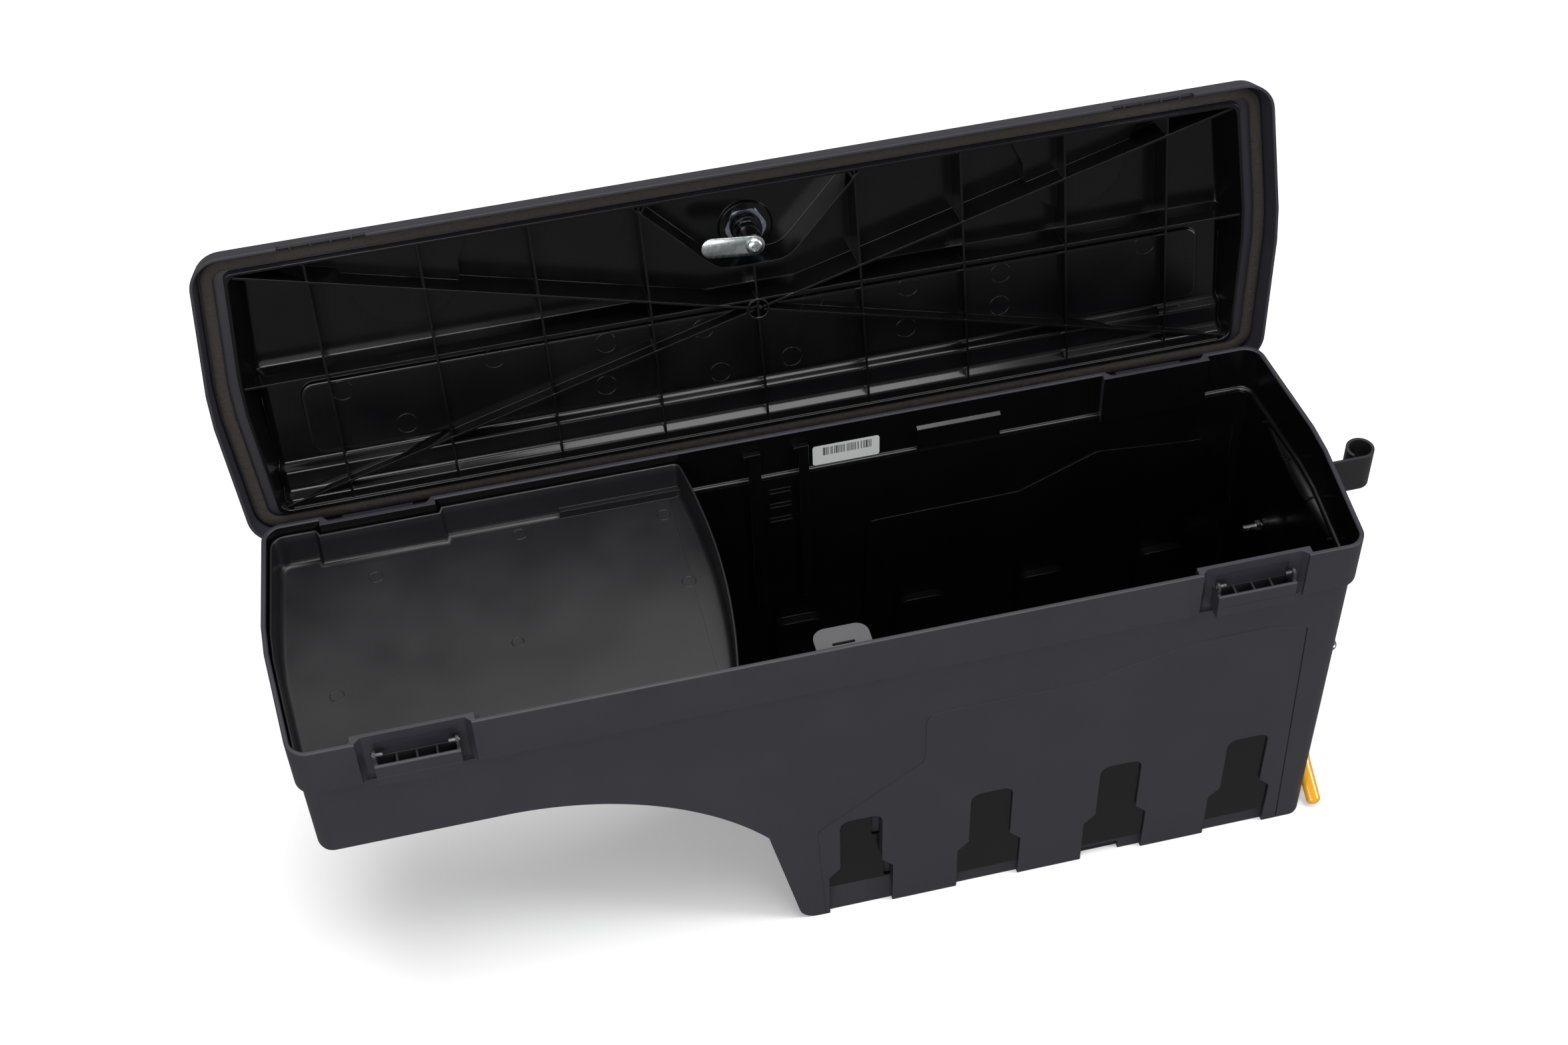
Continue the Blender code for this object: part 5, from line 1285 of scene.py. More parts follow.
def trimmed(parts):
    room = ribRoom()
    for part in parts:
        tool = bpy.data.objects.new("ribRoomCopy", room.data.copy())
        bpy.context.scene.collection.objects.link(tool)
        keep(part, tool)
    bpy.data.objects.remove(room, do_unlink=True)
    return parts


def lidLevels():  # stepped ceiling of the hinge side and its long panel
    top = tubSizes["boxHeight"]
    reach = lidDetail["levelEnd"]
    section = [(y, top + z) for y, z in lidDetail["levels"]]
    cuts = [0, 0.0004, 0.0003, 0.0002, 0, 0.0012, 0.0014, 0.0014, 0.0012, 0.0012, 0.0014, 0.0016, 0, 0]
    section = [tuple(p) for p in eased(section, cuts, 4)]
    rings = []
    for x, grow in ((-reach - 0.0040, 0.0110), (-reach, 0.0040), (-reach + 0.0040, 0.0),
                    (reach - 0.0040, 0.0), (reach, 0.0040), (reach + 0.0040, 0.0110)):
        rings.append([(x, y, min(z + grow, top + 0.0345)) for y, z in section])
    levels = loft(rings)
    x0, x1, y0, y1 = lidDetail["panel"]
    low = top + lidDetail["panelHeight"]
    skins = []
    for shrink, z in ((0.0, low + 0.006), (0.0, low + 0.0022), (0.0003, low + 0.0012),
                      (0.0009, low + 0.0004), (0.0019, low), (0.0040, low)):
        sharp = [(x0 + shrink, y0 + shrink), (x1 - shrink, y0 + shrink), (x1 - shrink, y1 - shrink),
                 (x0 + shrink, y1 - shrink)]
        skins.append([(x, y, z) for x, y in rounded(sharp, [lidDetail["panelRound"] - shrink] * 4, 10)])
    return [levels, loft(skins)]


def hingeArm(x):  # goose-necked arm with a knuckle round the hinge axis
    axisY, axisZ = lidAxis()[1:]
    top = tubSizes["boxHeight"]
    shelf = top - lidSizes["lidDrop"] + lidSizes["lidSkirt"] - lidSizes["lidWall"] / 2
    flange = tubSizes["boxWidth"] / 2 + lidSizes["lidOverhang"] - lidSizes["lidWall"] - lidSizes["lidSkirtDraft"]
    seal = tubSizes["boxWidth"] / 2 - lidSizes["gasketCentre"] + lidSizes["gasketWidth"] / 2 + 0.0006
    half = hingeSizes["troughHalf"] - hingeSizes["troughWall"] - hingeSizes["armEndGap"]
    bend = top - 0.0050
    profile = [(axisY - 0.0025, axisZ), (axisY + 0.0012, axisZ), (axisY + 0.0012, bend),
               (flange + lidSizes["lidWall"] / 2, bend + 0.0020),
               (flange + lidSizes["lidWall"] / 2, shelf),
               (seal, shelf), (seal, bend + 0.0045), (axisY - 0.0025, bend + 0.0020)]
    profile = [tuple(p) for p in eased(profile, [0, 0, 0.0015, 0.0008, 0, 0, 0.0008, 0.0015], 4)]
    return [slabX(profile, x - half, x + half),
            slabX(circle(hingeSizes["knuckleR"], 32, (axisY, axisZ)), x - half - 0.0004,
                  x + half + 0.0004)]


def makeLid():
    top = tubSizes["boxHeight"]
    low = top - lidSizes["lidDrop"]
    dome = top + lidSizes["domeTop"]
    wall = lidSizes["lidWall"]
    shell = lidShell()
    add(shell, together([slab(cupShape(sign * lidSizes["cupX"], wall), dome - lidSizes["cupDepth"] - wall,
                              dome - wall / 2)
                         for sign in (-1, 1)]))
    cut(shell, together([slab(cupShape(sign * lidSizes["cupX"]), dome - lidSizes["cupDepth"], dome + 0.02)
                         for sign in (-1, 1)]))
    face = tubSizes["boxWidth"] / 2
    half = hingeSizes["troughHalf"] + lidSizes["notchClearance"]
    notches = []
    for x, side in hingeSpots():
        ys = sideSpan(side, face + lidSizes["lidOverhang"] - wall - lidSizes["lidSkirtDraft"] - 0.001,
                      face + lidSizes["lidOverhang"] + 0.02)
        notches.append(box((x - half, x + half), ys, (low - 0.02, low + lidSizes["flangeNotch"])))
    cut(shell, together(notches))
    cut(shell, slab(circle(lockSizes["lockBodyR"] + hingeSizes["boreGap"], 32, (0.0, lockSizes["lockY"])),
                    dome - 0.008, dome + 0.02))
    # lid inside faces get the inner colour: glossier, and darker as painted shade under the lid
    inside = []
    for face in shell.data.polygons:
        deep = abs(face.center.y) < tubSizes["boxWidth"] / 2 - lidSizes["domeSide"] - wall + 0.0055
        inside.append(deep and face.center.z < dome - 0.0004 and face.normal.z < 0.72
                      and abs(face.center.x) < tubSizes["boxLength"] / 2 - lidSizes["domeEnd"] - 0.0002
                      and (face.normal.z < -0.3 or face.center.y * face.normal.y < 0
                           or face.center.x * face.normal.x < 0))
    for face, glossAndShade in zip(shell.data.polygons, inside):
        face.material_index = 1 if glossAndShade else 0
    parts = [(None, shell)] + [(1, part) for part in trimmed(lidRibs() + lidLevels())]
    for sign in (-1, 1):
        parts += [(0, part) for part in hingeArm(sign * hingeSizes["hingeX"])]
    count, first, pitch = lidDetail["notchBars"]
    for sign in (-1, 1):
        row = {"Count": count,
               "Start": (sign * first, -(tubSizes["boxWidth"] / 2 + 0.0068), low + 0.0095),
               "Step": (sign * pitch, 0.0, 0.0),
               "Size": (0.0014, 0.0030, 0.0080), "Finish": ribPlastic}
        parts.append((0, grow("bars", row)))
    marks = [(x, y, top + z) for x, y, z in lidDetail["marks"]]
    rings = grow("rings", {"Radius": lidDetail["markRadius"], "Bead": 0.00022, "Finish": innerPlasticGlossAndShade},
                 marks)
    parts.append((1, rings))
    lid = joined("lidMoulding", parts, [outerPlastic, innerPlasticGlossAndShade])
    turned(lid, lidAxis(), -hingeSizes["lidOpen"])
    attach(lid, "lid")
    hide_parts("lid")
    print("lid", len(lid.data.polygons), "faces")


def makeSeal():  # sponge seal pressed in the channel, folded where it turns the corners
    top = tubSizes["boxHeight"]
    high = top - lidSizes["lidDrop"] + lidSizes["lidSkirt"] - lidSizes["lidWall"] - 0.0003
    half = lidSizes["gasketThick"] / 2
    path = [(x, y, high - half) for x, y in rimOutline(lidSizes["gasketCentre"])]
    values = {"Width": lidSizes["gasketWidth"] / 2 - 0.0004, "Height": half - 0.0004, "Sides": 20,
              "Spacing": 0.0022,
              "Fold": 0.0014, "FoldScale": 230.0, "Finish": sealFoam}
    seal = grow("bead", values, path, True, "spongeSeal")
    smooth(seal, 80)
    turned(seal, lidAxis(), -hingeSizes["lidOpen"])
    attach(seal, "lid")
    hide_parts("gasket")


def camTop():
    return tubSizes["boxHeight"] - stripSizes["strikeDrop"] - stripSizes["strikeThick"] - lockSizes["camGap"]


def hexLathe(across, low, high, bore, spot, name, mat):  # chamfered hexagon nut
    flat = across / 2
    steps = 48
    rings = []
    for z, chamfer in ((low, 0.0016), (low + 0.0009, 0.0), (high - 0.0009, 0.0), (high, 0.0016)):
        ring = []
        for k in range(steps):
            angle = 2 * math.pi * k / steps
            folded = (angle + math.pi / 6) % (math.pi / 3) - math.pi / 6
            radius = min(flat / math.cos(folded), flat * 1.1547 - chamfer)
            ring.append((spot[0] + radius * math.cos(angle + math.pi / 6),
                         spot[1] + radius * math.sin(angle + math.pi / 6), z))
        rings.append(ring)
    nut = loft(rings, name, mat)
    cut(nut, slab(circle(bore, 40, spot), low - 0.02, high + 0.02))
    return nut


def onLid(obj, body, node, degrees=35.0):  # swing to the open place and hand over to the frame
    smooth(obj, degrees)
    turned(obj, lidAxis(), -hingeSizes["lidOpen"])
    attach(obj, body)
    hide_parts(node)


def makeLock():
    dome = tubSizes["boxHeight"] + lidSizes["domeTop"]
    under = dome - lidSizes["lidWall"]
    spot = (0.0, lockSizes["lockY"])
    neckLow = camTop() + 0.0003
    body = lockSizes["lockBodyR"]
    neck = lockSizes["lockNeckR"]
    cap = lockSizes["lockCapR"]
    shoulder = under - lockSizes["lockNeckDrop"]
    bore = lockSizes["plugR"] + 0.0003
    profile = [(neck - 0.0006, neckLow), (neck, neckLow + 0.0006), (neck, shoulder - 0.0010),
               (neck + 0.0008, shoulder - 0.0002), (body - 0.0008, shoulder),
               (body, shoulder + 0.0008)]
    turns = 5
    for k in range(turns):  # thread crests that show below the nut
        z = shoulder + 0.0012 + k * 0.0012
        profile += [(body, z), (body - 0.0005, z + 0.0006)]
    profile += [(body, under - 0.0040), (body, dome + 0.0003), (cap, dome + 0.0003), (cap, dome + 0.0014),
                (cap - 0.0014, dome + lockSizes["lockCapThick"]),
                (bore + 0.0010, dome + lockSizes["lockCapThick"]),
                (bore, dome + lockSizes["lockCapThick"] - 0.0008), (bore, neckLow + 0.0004)]
    rings = [[(x, y, z) for x, y in circle(radius, 48, spot)] for radius, z in profile]
    bm = bmesh.new()
    made = [[bm.verts.new(p) for p in ring] for ring in rings]
    for a, b in zip(made, made[1:] + made[:1]):
        for i in range(48):
            bm.faces.new((a[i], a[(i + 1) % 48], b[(i + 1) % 48], b[i]))
    barrel = objFrom(bm, "lockBarrel", barrelBlack)
    onLid(barrel, "lid", "lock_barrel", 40)
    nut = hexLathe(lockSizes["nutAcross"], under - 0.0003 - lockSizes["nutThick"], under - 0.0003,
                   body + 0.0003, spot, "lockNut", blueZinc)
    onLid(nut, "lid", "lock_nut")
    half = lockSizes["camWidth"] / 2
    length = lockSizes["camReach"] - half
    high = camTop()
    low = high - lockSizes["camThick"]
    rings = []
    for shrink, z in ((0.0006, low), (0.0002, low + 0.0002), (0.0, low + 0.0006), (0.0, high - 0.0006),
                      (0.0002, high - 0.0002), (0.0006, high)):
        r = half - shrink
        ring = [(-length + r * math.cos(a), r * math.sin(a))
                for a in (math.pi / 2 + math.pi * k / 20 for k in range(21))]
        ring += [(r * math.cos(a), r * math.sin(a))
                 for a in (-math.pi / 2 + math.pi * k / 20 for k in range(21))]
        swing = Matrix.Rotation(lockSizes["camTilt"], 2)
        rings.append([(*(swing @ Vector(p) + Vector(spot)), z) for p in ring])
    cam = loft(rings, "lockCam", brightZinc)
    square = lockSizes["plugR"] * 0.62 + 0.0003
    cut(cam, box((-square, square), (lockSizes["lockY"] - square, lockSizes["lockY"] + square),
                 (low - 0.001, high + 0.001)))
    onLid(cam, "lock", "cam")
    seat = low - 0.0003
    thick = lockSizes["screwHeadThick"]
    headR = lockSizes["screwHeadR"]
    profile = [(headR * 0.15, seat - thick), (headR * 0.45, seat - thick * 0.97),
               (headR * 0.72, seat - thick * 0.84), (headR * 0.92, seat - thick * 0.58),
               (headR, seat - thick * 0.35), (headR, seat - thick * 0.10), (headR * 0.97, seat),
               (lockSizes["screwR"], seat), (lockSizes["screwR"], seat + 0.008)]
    screw = lathe(profile, spot, 48, "camScrew", brightZinc)
    slots = []
    for angle in (0.35, 0.35 + math.pi / 2):
        for extra, deep, wide in ((0.0, 0.0024, 0.0008), (math.pi / 4, 0.0010, 0.00022)):
            bar = box((-0.0036, 0.0036), (-wide, wide), (0.0, 0.010))
            bar.data.transform(Matrix.Translation((spot[0], spot[1],
                                                   seat - thick - 0.010 + deep)) @ Matrix.Rotation(angle
                                                                                                   + extra, 4, "Z"))
            slots.append(bar)
    for bar in slots:
        cut(screw, bar)
    onLid(screw, "lock", "cam_screw", 30)


# Tray.
traySizes = {
    "trayRightX": -0.0826,
    "trayBulge": 0.0130,
    "trayBulgeSteps": 24,
    "trayTop": 0.0100,  # tray rim below the box rim
    "trayWall": 0.0024,
    "trayClearance": 0.0012,
    "trayDraft": 0.0010,
    "trayCornerR": 0.0080,
}


# plan of the tray: follows the shallow end of the tub, steps in past the hinge blocks
def trayOutline(distance, steps=6):
    end = inset(sharpRim(), tubSizes["rimWall"] + traySizes["trayClearance"])
    y = tubSizes["boxWidth"] / 2 - tubSizes["rimWall"] - traySizes["trayClearance"]
    yIn = tubSizes["boxWidth"] / 2 - hingeSizes["pocketIn"] - hingeSizes["pocketWall"] - traySizes["trayClearance"]
    near = -hingeSizes["hingeX"] + hingeSizes["pocketHalf"] + hingeSizes["pocketFlare"] + hingeSizes["pocketWall"] + traySizes["trayClearance"]
    far = -hingeSizes["hingeX"] - hingeSizes["pocketHalf"] - hingeSizes["pocketFlare"] - hingeSizes["pocketWall"] - traySizes["trayClearance"]
    ramp = 0.003
    arc = []
    for k in range(traySizes["trayBulgeSteps"] + 1):
        at = -y + 2 * y * k / traySizes["trayBulgeSteps"]
        arc.append((traySizes["trayRightX"] - traySizes["trayBulge"] * (at / y) ** 2, at))
    sharp = arc + [(near + ramp, y), (near, yIn), (far, yIn), (far - ramp, y),
                   end[5], end[6], end[7], end[0],
                   (far - ramp, -y), (far, -yIn), (near, -yIn), (near + ramp, -y)]
    corner = max(traySizes["trayCornerR"] - distance, 0.0008)
    outer = max(tubSizes["cornerR"] - tubSizes["rimWall"] - distance, 0.0008)
    radii = [corner] + [0] * (traySizes["trayBulgeSteps"] - 1)
    radii += [corner, 0, 0, 0, 0, outer, tubSizes["bendR"], tubSizes["bendR"], outer, 0, 0, 0, 0]
    return rounded(inset(sharp, distance), radii, steps)


trayDetail = {
    "rimRound": 0.0009,
    "footRound": 0.0060,  # soft radius between floor and wall
    "gateR": 0.0055,
    "stepX": (-0.2150, -0.0950),  # low shelf along the foot of the back wall
    "marks": [(-0.3950, 0.0950), (-0.2560, 0.1150), (-0.1180, 0.1050), (-0.1120, 0.0150),
              (-0.4450, -0.0400)],
}


def makeTray():
    ledge = tubSizes["boxHeight"] - tubSizes["skirtDepth"] + tubSizes["wall"]
    low = ledge + tubSizes["fitGap"]
    high = tubSizes["boxHeight"] - traySizes["trayTop"]
    wall = traySizes["trayWall"]
    draft = traySizes["trayDraft"]
    small = trayDetail["rimRound"]
    foot = trayDetail["footRound"]
    profile = [(draft + 0.003, low), (draft + 0.0010, low), (draft, low + 0.0012), (0.0, high - small),
               (small * 0.35, high - small * 0.3), (small, high),
               (wall - small, high), (wall - small * 0.35, high - small * 0.3), (wall, high - small)]
    inner = eased([(wall, high - 0.010), (wall + draft, low + wall), (wall + draft + 0.012, low + wall)],
                  [0, foot, 0], 8)
    profile += [(p[0], p[1]) for p in inner]
    skins = [[(x, y, z) for x, y in trayOutline(inward)] for inward, z in profile]
    tray = loft(skins, "tray")
    x0, x1 = trayDetail["stepX"]
    back = tubSizes["boxWidth"] / 2 - tubSizes["rimWall"] - traySizes["trayClearance"] - wall
    parts = [tray, box((x0, x1), (back - 0.0060, back + 0.0010), (low + 0.001, low + wall + 0.0090))]
    points = [(x, y, low + wall + 0.0001) for x, y in trayDetail["marks"]]
    parts.append(grow("rings", {"Radius": 0.0065, "Bead": 0.00030, "Finish": trayPlastic}, points))
    parts.append(grow("rings", {"Radius": trayDetail["gateR"], "Bead": 0.00035, "Finish": trayPlastic},
                      [(-0.2780, -0.0180, low + wall + 0.0002)]))
    done = joined("partsTray", [(0, part) for part in parts], [trayPlastic])
    smooth(done, 40)
    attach(done, "tray")
    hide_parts("tray")
    print("tray", len(done.data.polygons), "faces")


# Brackets, latch and lever.
bracketSizes = {
    "plateThick": 0.0030,
    "pivotX": 0.5620,  # axis on which the whole box swings
    "pivotY": 0.0300,
    "eyeR": 0.0140,
    "eyeHeight": 0.0435,
    "eyeOpen": math.radians(50.0),
    "eyeSteps": 40,
    "strapFlare": 0.0260,  # how much taller the strap is at its root
    "upperPlateHalf": 0.0850,
    "upperPlateTop": 0.0587,  # below the rim top
    "upperPlateLow": 0.2050,
    "upperBoltY": 0.0613,
    "upperBoltDrop": 0.1808,
    "lowerPlateY": (-0.0980, 0.1000),
    "lowerPlateZ": (0.0385, 0.1330),
    "lowerBoltY": 0.0700,
    "lowerBoltZ": 0.1050,
    "boltR": 0.0030,
    "lugLow": 0.0385,
    "lugHigh": 0.0800,
    "lugHalf": 0.0120,
    "latchR": 0.0050,
    "latchLow": 0.0340,
    "latchHigh": 0.1480,
    "latchHeadR": 0.0085,
    "latchHead": 0.0040,
    "collarR": 0.0125,
    "collarThick": 0.0040,
    "springR": 0.0085,
    "springWire": 0.0012,
    "springTurns": 3.5,
    "latchTravel": 0.0135,  # how far the plunger pushes the spring together
    "leverY": -0.0200,
    "leverZ": 0.1145,
    "leverR": 0.0035,
    "leverSide": 0.0045,  # gap from the bracket's face to the side of the lever's rod
    "leverTip": (0.5001, -0.1300, 0.0085),
    "leverBend": (0.4990, -0.0932, 0.0333),
    "gripR": 0.0056,
    "gripDeep": 1.35,  # grip's depth over its width
    "tabOut": 0.0220,  # bearing tab's distance from the bracket's face
}


def plateOutline(lowY, highY, out):  # plan of a plate that follows the pivot end wall, out from its face
    edges = [lowY, -tubSizes["endFlat"] / 2, tubSizes["endFlat"] / 2, highY]
    outer = [(endX(y, tubSizes["skirtStep"]) + out + bracketSizes["plateThick"], y) for y in edges]
    inner = [(endX(y, tubSizes["skirtStep"]) + out, y) for y in reversed(edges)]
    return outer + inner


def plateFace():  # x of the middle of a bracket plate's outer face
    return endX(0.0, tubSizes["skirtStep"]) + tubSizes["fitGap"] + bracketSizes["plateThick"]


def fitted(obj, body, node, degrees=35.0):
    smooth(obj, degrees)
    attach(obj, body)
    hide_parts(node)


def makeUpperBracket():  # base plate, strap and rolled eye round the pivot axis
    top = tubSizes["boxHeight"] - bracketSizes["upperPlateTop"]
    low = tubSizes["boxHeight"] - bracketSizes["upperPlateLow"]
    plan = plateOutline(-bracketSizes["upperPlateHalf"], bracketSizes["upperPlateHalf"],
                        tubSizes["fitGap"])
    bracket = slab(plan, low, top, "pivotBracket", plateCoat)
    thick = bracketSizes["plateThick"]
    pivotX = bracketSizes["pivotX"]
    pivotY = bracketSizes["pivotY"]
    radius = bracketSizes["eyeR"]
    near = pivotY - radius
    root = plateFace() - thick / 2
    eyeLow = top - bracketSizes["eyeHeight"]
    flare = bracketSizes["strapFlare"]
    side = [(root, eyeLow - flare), (plateFace() + 0.004, eyeLow - flare * 0.88),
            (plateFace() + 0.010, eyeLow - flare * 0.62),
            (plateFace() + 0.018, eyeLow - flare * 0.30), (plateFace() + 0.027, eyeLow - flare * 0.08),
            (pivotX - 0.016, eyeLow),
            (pivotX, eyeLow), (pivotX, top), (root, top)]
    add(bracket, slabY(side, near, near + thick))
    start = -math.pi / 2 - 0.02
    sweep = 2 * math.pi - bracketSizes["eyeOpen"]
    steps = bracketSizes["eyeSteps"]
    angles = [start + sweep * k / steps for k in range(steps + 1)]
    outer = [(pivotX + radius * math.cos(a), pivotY + radius * math.sin(a)) for a in angles]
    inner = [(pivotX + (radius - thick) * math.cos(a), pivotY + (radius - thick) * math.sin(a))
             for a in reversed(angles)]
    add(bracket, slab(outer + inner, eyeLow, top))
    for key in ("upper_front", "upper_back"):
        y, z = boltPlaces()[key]
        cut(bracket, slabX(circle(bracketSizes["boltR"] + hingeSizes["boreGap"], 16, (y, z)),
                           endX(y) - 0.01, endX(y) + 0.01))
    fitted(bracket, "tub", "upper_bracket")


def makeLowerBracket():  # base plate with two lugs for the latch pin and a tab for the lever
    low, high = bracketSizes["lowerPlateZ"]
    thick = bracketSizes["plateThick"]
    plan = plateOutline(bracketSizes["lowerPlateY"][0], bracketSizes["lowerPlateY"][1],
                        tubSizes["fitGap"])
    bracket = slab(plan, low, high, "latchBracket", plateCoat)
    root = plateFace() - thick / 2
    half = bracketSizes["lugHalf"]
    pivotX = bracketSizes["pivotX"]
    pivotY = bracketSizes["pivotY"]
    tip = pivotX + half * 0.9
    leverY = bracketSizes["leverY"]
    for z, startY in ((bracketSizes["lugLow"], pivotY - half), (bracketSizes["lugHigh"], leverY - half)):
        near = plateFace() + bracketSizes["tabOut"] + thick
        sharp = [(root, startY), (near, startY), (tip, pivotY - half), (tip, pivotY + half),
                 (root, pivotY + half)]
        radii = [0, 0, 0.008, 0.008, 0]
        if startY == pivotY - half:
            sharp.pop(1)
            radii = [0, 0.008, 0.008, 0]
        add(bracket, slab(rounded(sharp, radii, 8), z, z + thick))
        cut(bracket, slab(circle(bracketSizes["latchR"] + hingeSizes["boreGap"], 28, (pivotX, pivotY)),
                          z - 0.001, z + thick + 0.001))
    tab = plateFace() + bracketSizes["tabOut"]
    ys = (leverY - half + 0.0002, leverY + half)
    corner = [(ys[0], bracketSizes["lugHigh"] + thick / 2), (ys[1], bracketSizes["lugHigh"] + thick / 2),
              (ys[1], bracketSizes["leverZ"] + half * 0.8), (ys[0], bracketSizes["leverZ"] + half * 0.8)]
    add(bracket, slabX(rounded(corner, [0, 0, 0.006, 0.006], 6), tab, tab + thick))
    cut(bracket, slabX(circle(bracketSizes["leverR"] + hingeSizes["boreGap"], 24,
                              (leverY, bracketSizes["leverZ"])), tab - 0.001, tab + thick + 0.001))
    for key in ("lower_front", "lower_back"):
        y, z = boltPlaces()[key]
        cut(bracket, slabX(circle(bracketSizes["boltR"] + hingeSizes["boreGap"], 16, (y, z)),
                           endX(y) - 0.02, endX(y) + 0.01))
    fitted(bracket, "tub", "lower_bracket")


def makeLatch():  # plunger with its head and collar, the spring round it, the bent lever and its grip
    spot = (bracketSizes["pivotX"], bracketSizes["pivotY"])
    gap = tubSizes["fitGap"]
    r = bracketSizes["latchR"]
    head = bracketSizes["lugLow"] - gap
    headR = bracketSizes["latchHeadR"]
    collar = bracketSizes["collarR"]
    above = bracketSizes["leverZ"] - bracketSizes["leverR"] - gap
    high = bracketSizes["latchHigh"]
    profile = [(r * 0.6, bracketSizes["latchLow"]), (headR - 0.0010, head - bracketSizes["latchHead"]),
               (headR, head - bracketSizes["latchHead"] + 0.001),
               (headR, head - 0.0006), (headR - 0.0006, head), (r, head),
               (r, above - bracketSizes["collarThick"]),
               (collar - 0.0006, above - bracketSizes["collarThick"]),
               (collar, above - bracketSizes["collarThick"] + 0.0006),
               (collar, above - 0.0006), (collar - 0.0006, above), (r, above), (r, high - 0.0045),
               (r * 0.85, high - 0.0015), (r * 0.5, high)]
    fitted(lathe(profile, spot, 40, "latchPlunger", brightZinc), "latch", "latch_pin")
    wire = bracketSizes["springWire"]
    low = bracketSizes["lugHigh"] + bracketSizes["plateThick"] + gap + wire
    top = above - bracketSizes["collarThick"] - gap - wire
    values = {"Turns": bracketSizes["springTurns"], "Radius": bracketSizes["springR"],
              "Height": top - low, "Wire": wire,
              "Place": (spot[0], spot[1], low), "Finish": brightZinc}
    spring = grow("coil", values, name="latchSpringWire")
    smooth(spring, 60)
    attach(spring, "tub")
    start = low - wire
    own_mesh(spring)
    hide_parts("latch_spring")
    side = plateFace() + bracketSizes["leverSide"] + bracketSizes["leverR"]
    armX = bracketSizes["pivotX"] - r - bracketSizes["leverR"] - 0.0010
    bend = 0.006
    y = bracketSizes["leverY"]
    z = bracketSizes["leverZ"]
    knee = Vector(bracketSizes["leverBend"])
    tip = Vector(bracketSizes["leverTip"])
    ahead = (tip - knee).normalized()
    corners = [Vector((armX, bracketSizes["pivotY"] + 0.008, z)), Vector((armX, y, z)),
               Vector((side, y, z)), knee, tip - ahead * 0.004]
    path = eased(corners, [0, bend, bend, 0.004, 0], 6)
    rod = tube(path, bracketSizes["leverR"], 20, "bentLeverRod", brightZinc)
    fitted(rod, "lever", "release_lever", 50)
    start = knee + (corners[2] - knee).normalized() * 0.018
    spine = eased([start, knee, tip - ahead * 0.0026], [0, 0.006, 0], 6)
    r = bracketSizes["gripR"]
    deep = bracketSizes["gripDeep"]
    rings = []
    side = ahead.cross(Vector((0, 0, 1))).normalized()

    def oval(at, along, size):  # one ring of the grip, wider across than deep
        up = along.cross(side).normalized()
        angles = (2 * math.pi * k / 28 for k in range(28))
        rings.append([tuple(at + side * math.cos(a) * size * deep + up * math.sin(a) * size)
                      for a in angles])

    for i, at in enumerate(spine):
        along = (spine[min(i + 1, len(spine) - 1)] - spine[max(i - 1, 0)]).normalized()
        oval(at, along, r if i else r * 0.90)
    for k in range(1, 8):  # rounded tip
        t = math.pi / 2 * k / 8
        oval(spine[-1] + ahead * 0.0056 * math.sin(t), ahead, r * math.cos(t))
    grip = loft(rings, "dippedGrip", yellowVinyl)
    fitted(grip, "lever", "lever_grip", 50)


def dressFrame():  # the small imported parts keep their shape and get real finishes
    bolts = [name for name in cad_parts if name.startswith(("bolt_", "nut_", "stub_"))]
    for name in bolts + ["lock_plug"]:
        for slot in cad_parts[name].material_slots:
            slot.material = agedZinc if name.startswith("stub_") else brightZinc


dressTub()
makeLid()
makeSeal()
makeLock()
makeTray()
makeUpperBracket()
makeLowerBracket()
makeLatch()
dressFrame()
print("pieces made")


# Studio: white floor, soft boxes and the camera.
studio = {
    "lens": 53.04,
    "place": (-0.31436, -1.41032, 1.96703),
    "ahead": (0.13887, 0.67144, -0.72793),
    "yaw": -0.2039,
    "roll": -0.0389,
    "floorHalf": 9.0,
    "world": 0.25,
    "lights": {
        # name: place, aim, size, watts
        "overhead": ((0.2, 0.1, 3.2), (0.0, 0.0, 0.2), (3.2, 2.4), 150.0),
        "frontFill": ((-1.4, -3.2, 1.9), (0.0, -0.1, 0.2), (2.6, 1.8), 110.0),
        "rightStrip": ((3.0, -1.2, 1.6), (0.2, 0.0, 0.4), (0.7, 2.2), 60.0),
    },
}


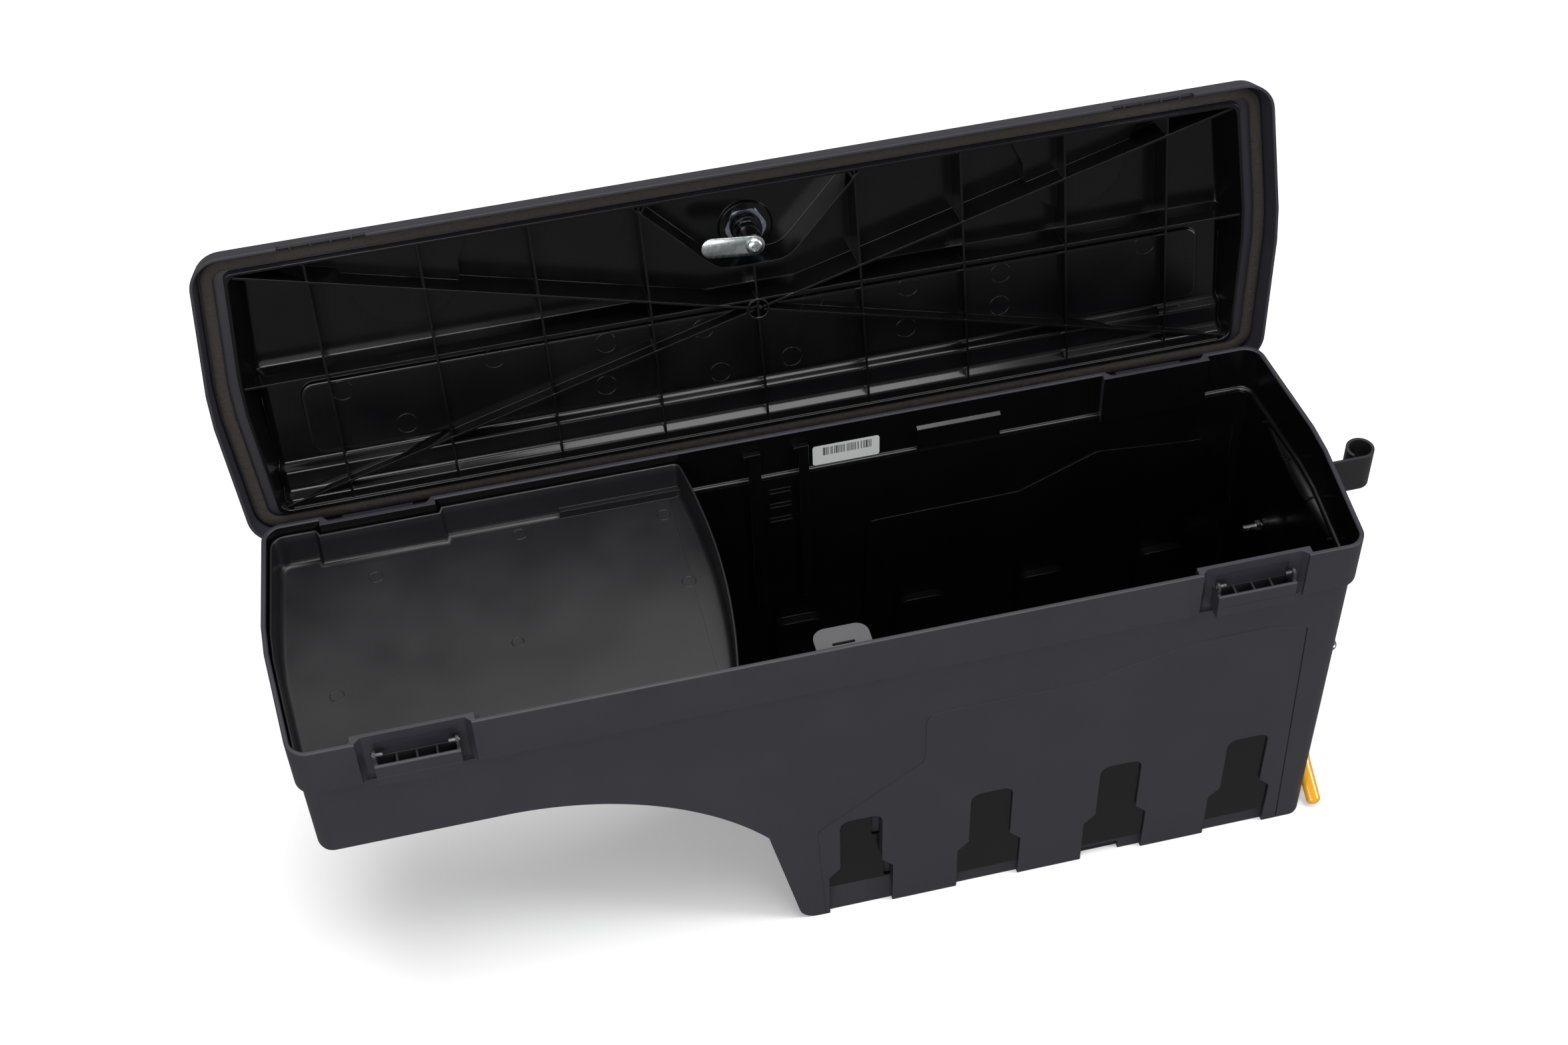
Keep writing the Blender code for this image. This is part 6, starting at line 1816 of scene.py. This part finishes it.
def placeCamera():
    data = bpy.data.cameras.new("studioCamera")
    data.lens = studio["lens"]
    data.sensor_width = 36.0
    data.sensor_fit = "HORIZONTAL"
    data.dof.use_dof = False
    ahead = Vector(studio["ahead"]).normalized()
    flat = Vector((math.cos(studio["yaw"]), math.sin(studio["yaw"]), 0.0))
    up = flat.cross(ahead)
    roll = studio["roll"]
    right = flat * math.cos(roll) + up * math.sin(roll)
    above = up * math.cos(roll) - flat * math.sin(roll)
    camera = bpy.data.objects.new("studioCamera", data)
    rows = Matrix((right, above, -ahead)).transposed().to_4x4()
    camera.matrix_world = Matrix.Translation(Vector(studio["place"])) @ rows
    bpy.context.scene.collection.objects.link(camera)
    bpy.context.scene.camera = camera


def placeLights():
    for name, (place, aim, size, watts) in studio["lights"].items():
        data = bpy.data.lights.new(name, "AREA")
        data.shape = "RECTANGLE"
        data.size, data.size_y = size
        data.energy = watts
        light = bpy.data.objects.new(name, data)
        light.location = place
        light.rotation_euler = (Vector(aim) - Vector(place)).to_track_quat("-Z", "Y").to_euler()
        bpy.context.scene.collection.objects.link(light)


def placeFloor():
    half = studio["floorHalf"]
    bm = bmesh.new()
    bm.faces.new([bm.verts.new(p)
                  for p in ((-half, -half, -0.0002), (half, -half, -0.0002), (half, half, -0.0002),
                            (-half, half, -0.0002))])
    floor = objFrom(bm, "studioFloor")
    made, tree, shader, place = newMaterial("whiteStudioSweep",
                                            {"Roughness": 0.9, "Specular IOR Level": 0.1})
    cloud = addNode(tree, "ShaderNodeTexNoise", {"Scale": 1.5}, {"Vector": place})
    tint = addNode(tree, "ShaderNodeMix", {"A": linear(0xF4F4F4), "B": linear(0xF8F8F8)},
                   {"Factor": cloud.outputs["Fac"]}, data_type="RGBA")
    tree.links.new(tint.outputs[2], shader.inputs["Base Color"])
    floor.data.materials.append(made)
    floor.visible_glossy = False


world = bpy.data.worlds.new("softWorld")
world.use_nodes = True
world.node_tree.nodes["Background"].inputs["Color"].default_value = linear(0xFFFFFF)
world.node_tree.nodes["Background"].inputs["Strength"].default_value = studio["world"]
bpy.context.scene.world = world
bpy.context.scene.view_settings.view_transform = "Standard"
placeCamera()
placeLights()
placeFloor()
print("stage set")
